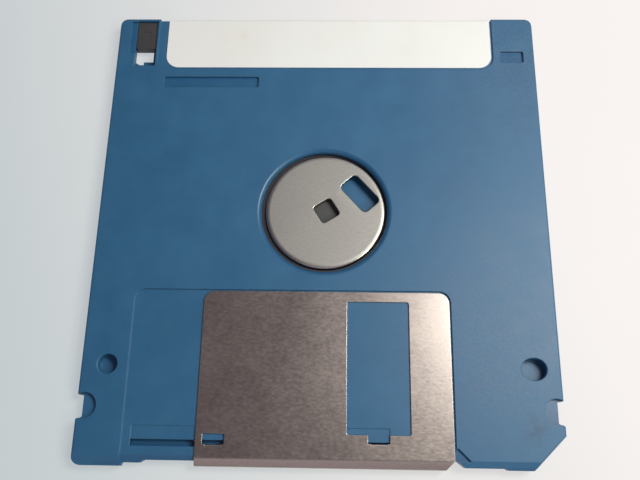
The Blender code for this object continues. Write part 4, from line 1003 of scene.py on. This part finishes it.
def folded_shutter():
    """The folded sheet with its two windows, its trimmed corners and its two bent tabs."""
    strip = bar(folded_section(), SHUTTER_LEFT, SHUTTER_RIGHT)
    sheet = add_piece("folded_shutter", mesh_of(strip, "sheet"), sheet_finish)
    outline = filleted([
        (SHUTTER_LEFT - CUT_MARGIN, SHUTTER_FRONT - CUT_MARGIN, 0),
        (SHUTTER_RIGHT - FRONT_CUT[0] - CUT_MARGIN, SHUTTER_FRONT - CUT_MARGIN, 0),
        (SHUTTER_RIGHT - FRONT_CUT[0], SHUTTER_FRONT, 0),
        (SHUTTER_RIGHT, SHUTTER_FRONT + FRONT_CUT[1], 0),
        (SHUTTER_RIGHT, SHUTTER_TOP, SHUTTER_CORNER),
        (SHUTTER_LEFT, SHUTTER_TOP, SHUTTER_CORNER),
        (SHUTTER_LEFT, SHUTTER_FRONT, 0),
        (SHUTTER_LEFT - CUT_MARGIN, SHUTTER_FRONT, 0),
    ])
    combine(sheet, "INTERSECT", prism(outline, *THROUGH_BOTH_LEAVES))
    size = (WINDOW_WIDTH, SHUTTER_TOP - WINDOW_RIM - WINDOW_LOW)
    window = rounded_box_loop(size, WINDOW_CORNER, 4)
    window = moved_loop(window, SHUTTER_WINDOW_X, WINDOW_LOW + size[1] / 2)
    combine(sheet, "DIFFERENCE", prism(window, *THROUGH_BOTH_LEAVES))
    for x, edge, high in TABS:
        notch = rectangle(x - NOTCH_HALF, x + NOTCH_HALF, edge, high)
        root = rectangle(x - TAB_HALF, x + TAB_HALF, edge - TAB_ROOT_CUT[0], edge + TAB_ROOT_CUT[1])
        for waste in (notch, root):
            combine(sheet, "DIFFERENCE", prism(waste, *THROUGH_UPPER_LEAF))
        combine(sheet, "UNION", bar(tab_section(edge), x - TAB_HALF, x + TAB_HALF))
    ease_edges(sheet, SHUTTER_EASE)
    return sheet


shutter = folded_shutter()
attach(shutter, "shutter")
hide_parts("shutter")


# Label.
# Off-white coated paper with rounded lower corners, folded over the label end of the case and stuck down.
def label_paper():
    material, tree, shader = new_finish("label_paper", 0.72)
    place = object_space(tree)
    mixed = remap(tree, clouds(tree, place, 60.0, 3.0), 0.35, 0.7)
    tone = blend_colours(tree, mixed, (0.90, 0.92, 0.92), (0.87, 0.875, 0.855))
    stain = use_effect(tree, smudge_and_sheen_effect, Place=LABEL_STAIN, Reach=LABEL_STAIN_REACH)["Mask"]
    stained = blend_colours(tree, calculate(tree, "MULTIPLY", stain, 0.55), tone, (0.80, 0.76, 0.62))
    tree.links.new(stained, shader.inputs["Base Color"])
    raise_surface(tree, shader, clouds(tree, place, 2500.0, 5.0, 0.7), 0.00001)
    return material


LABEL_STAIN = (-0.0178, 0.0431, 0.0032)
LABEL_STAIN_REACH = 0.0016
paper_finish = label_paper()
LABEL_LEFT = -0.0342
LABEL_RIGHT = 0.0358
LABEL_PAPER = 0.0001
LABEL_LEAVES = (0.0349, -0.0070)
LABEL_SEATS = (0.00308, 0.00022)
LABEL_FOLD = 0.04678
LABEL_FOLD_RADIUS = 0.0006
LABEL_CORNER = 0.0028
LABEL_MIDDLE = 0.00165
LABEL_ABOVE = 0.005
LABEL_BELOW = -0.001
LABEL_EASE = 0.00002


def folded_label():
    """The paper folded over the end, with its four lower corners rounded."""
    back, face = LABEL_LEAVES
    high, low = LABEL_SEATS
    outside = [
        (back, high + LABEL_PAPER, 0),
        (LABEL_FOLD + LABEL_PAPER, high + LABEL_PAPER, LABEL_FOLD_RADIUS),
        (LABEL_FOLD + LABEL_PAPER, low - LABEL_PAPER, LABEL_FOLD_RADIUS),
        (face, low - LABEL_PAPER, 0),
    ]
    inner_radius = LABEL_FOLD_RADIUS - LABEL_PAPER
    inside = [
        (face, low, 0),
        (LABEL_FOLD, low, inner_radius),
        (LABEL_FOLD, high, inner_radius),
        (back, high, 0),
    ]
    strip = bar(filleted(outside + inside), LABEL_LEFT, LABEL_RIGHT)
    paper = add_piece("folded_label", mesh_of(strip, "label"), paper_finish)
    for edge, heights in ((back, (LABEL_MIDDLE, LABEL_ABOVE)), (face, (LABEL_BELOW, LABEL_MIDDLE))):
        for side, x in ((-1, LABEL_LEFT), (1, LABEL_RIGHT)):
            beyond, above = x + side * PAST, edge + LABEL_CORNER
            corner = [(beyond, edge - PAST), (beyond, above), (x, above)]
            turn = (180, 270) if side < 0 else (360, 270)
            corner += arc((x - side * LABEL_CORNER, above), LABEL_CORNER, *turn, 8)[1:]
            corner += [(x - side * LABEL_CORNER, edge - PAST)]
            combine(paper, "DIFFERENCE", prism(corner, *heights))
    return paper


label = folded_label()
label.data.shade_smooth()
ease_edges(label, LABEL_EASE)
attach(label, "case")
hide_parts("label")


# Table.
# The plain pale surface that the disk lies on in the photograph. Its glow is painted light, as from a light
# table, so the disk casts hardly any shadow, and the painted glow is brighter towards the right.
def table_paper():
    material, tree, shader = new_finish("table_paper", 0.9, Emission_Strength=1.0)
    place = object_space(tree)
    tone = blend_colours(tree, clouds(tree, place, 25.0, 2.0), (0.20, 0.20, 0.20), (0.22, 0.22, 0.22))
    tree.links.new(tone, shader.inputs["Base Color"])
    # Painted light: the glow, brighter towards the right, stands in for light falling on the table.
    x, y, _ = split_axes(tree, place)
    towards = calculate(tree, "ADD", x, calculate(tree, "MULTIPLY", y, 0.35))
    painted_glow = blend_colours(tree, remap(tree, towards, -0.07, 0.05), (0.40, 0.455, 0.475), (0.69, 0.65, 0.64))
    tree.links.new(painted_glow, shader.inputs["Emission Color"])
    return material


TABLE_REACH = 1.2
TABLE_BELOW = 0.00002
table_mesh = bpy.data.meshes.new("table")
corners = rectangle(-TABLE_REACH, TABLE_REACH, -TABLE_REACH, TABLE_REACH)
table_mesh.from_pydata([(x, y, 0) for x, y in corners], [], [(0, 1, 2, 3)])
table = add_piece("table", table_mesh, table_paper())
table.location.z = -TABLE_BELOW


# Light.
# A window and two smaller lamps up on the right, soft lamps behind and in front, and a dim even room.
def add_area_light(name, place, size, power, colour):
    """Round lamp aimed at the middle of the disk."""
    lamp = bpy.data.lights.new(name, "AREA")
    lamp.shape = "DISK"
    lamp.size = size
    lamp.energy = power
    lamp.color = colour
    made = add_object(name, lamp)
    made.location = place
    made.rotation_euler = (-Vector(place)).to_track_quat("-Z", "Y").to_euler()


add_area_light("window_light", (0.19, 0.05, 0.25), 0.14, 0.48, (1.0, 1.0, 0.89))
add_area_light("lamp_light", (0.12, 0.04, 0.25), 0.08, 0.20, (1.0, 0.99, 0.97))
add_area_light("side_light", (0.26, -0.15, 0.26), 0.10, 0.35, (0.93, 1.0, 0.82))
add_area_light("room_light", (0.05, 0.45, 0.45), 0.3, 0.22, (1.0, 0.95, 1.0))
add_area_light("front_light", (0.0, -0.36, 0.32), 0.5, 0.24, (1.0, 0.90, 0.93))
world = bpy.data.worlds.new("room")
world.use_nodes = True
background = world.node_tree.nodes["Background"]
background.inputs["Color"].default_value = (1.0, 0.83, 0.98, 1.0)
background.inputs["Strength"].default_value = 0.124
bpy.context.scene.world = world
bpy.context.scene.view_settings.view_transform = "Standard"


# Camera.
# Almost straight above the disk, a little towards the shutter, as in the photograph.
CAMERA_PLACE = Vector((0.003405, -0.045112, 0.134938))
CAMERA_FORWARD = Vector((-0.02628, 0.29859, -0.95402))
CAMERA_RIGHT = Vector((0.99962, 0.01633, -0.02243))
CAMERA_LENS = 39.24
lens = bpy.data.cameras.new("camera")
lens.sensor_width = 36.0
lens.lens = CAMERA_LENS
lens.clip_start = 0.001
camera = add_object("camera", lens)
turn = Matrix((CAMERA_RIGHT, CAMERA_RIGHT.cross(CAMERA_FORWARD), -CAMERA_FORWARD)).transposed()
camera.matrix_world = Matrix.Translation(CAMERA_PLACE) @ turn.to_4x4()
bpy.context.scene.camera = camera
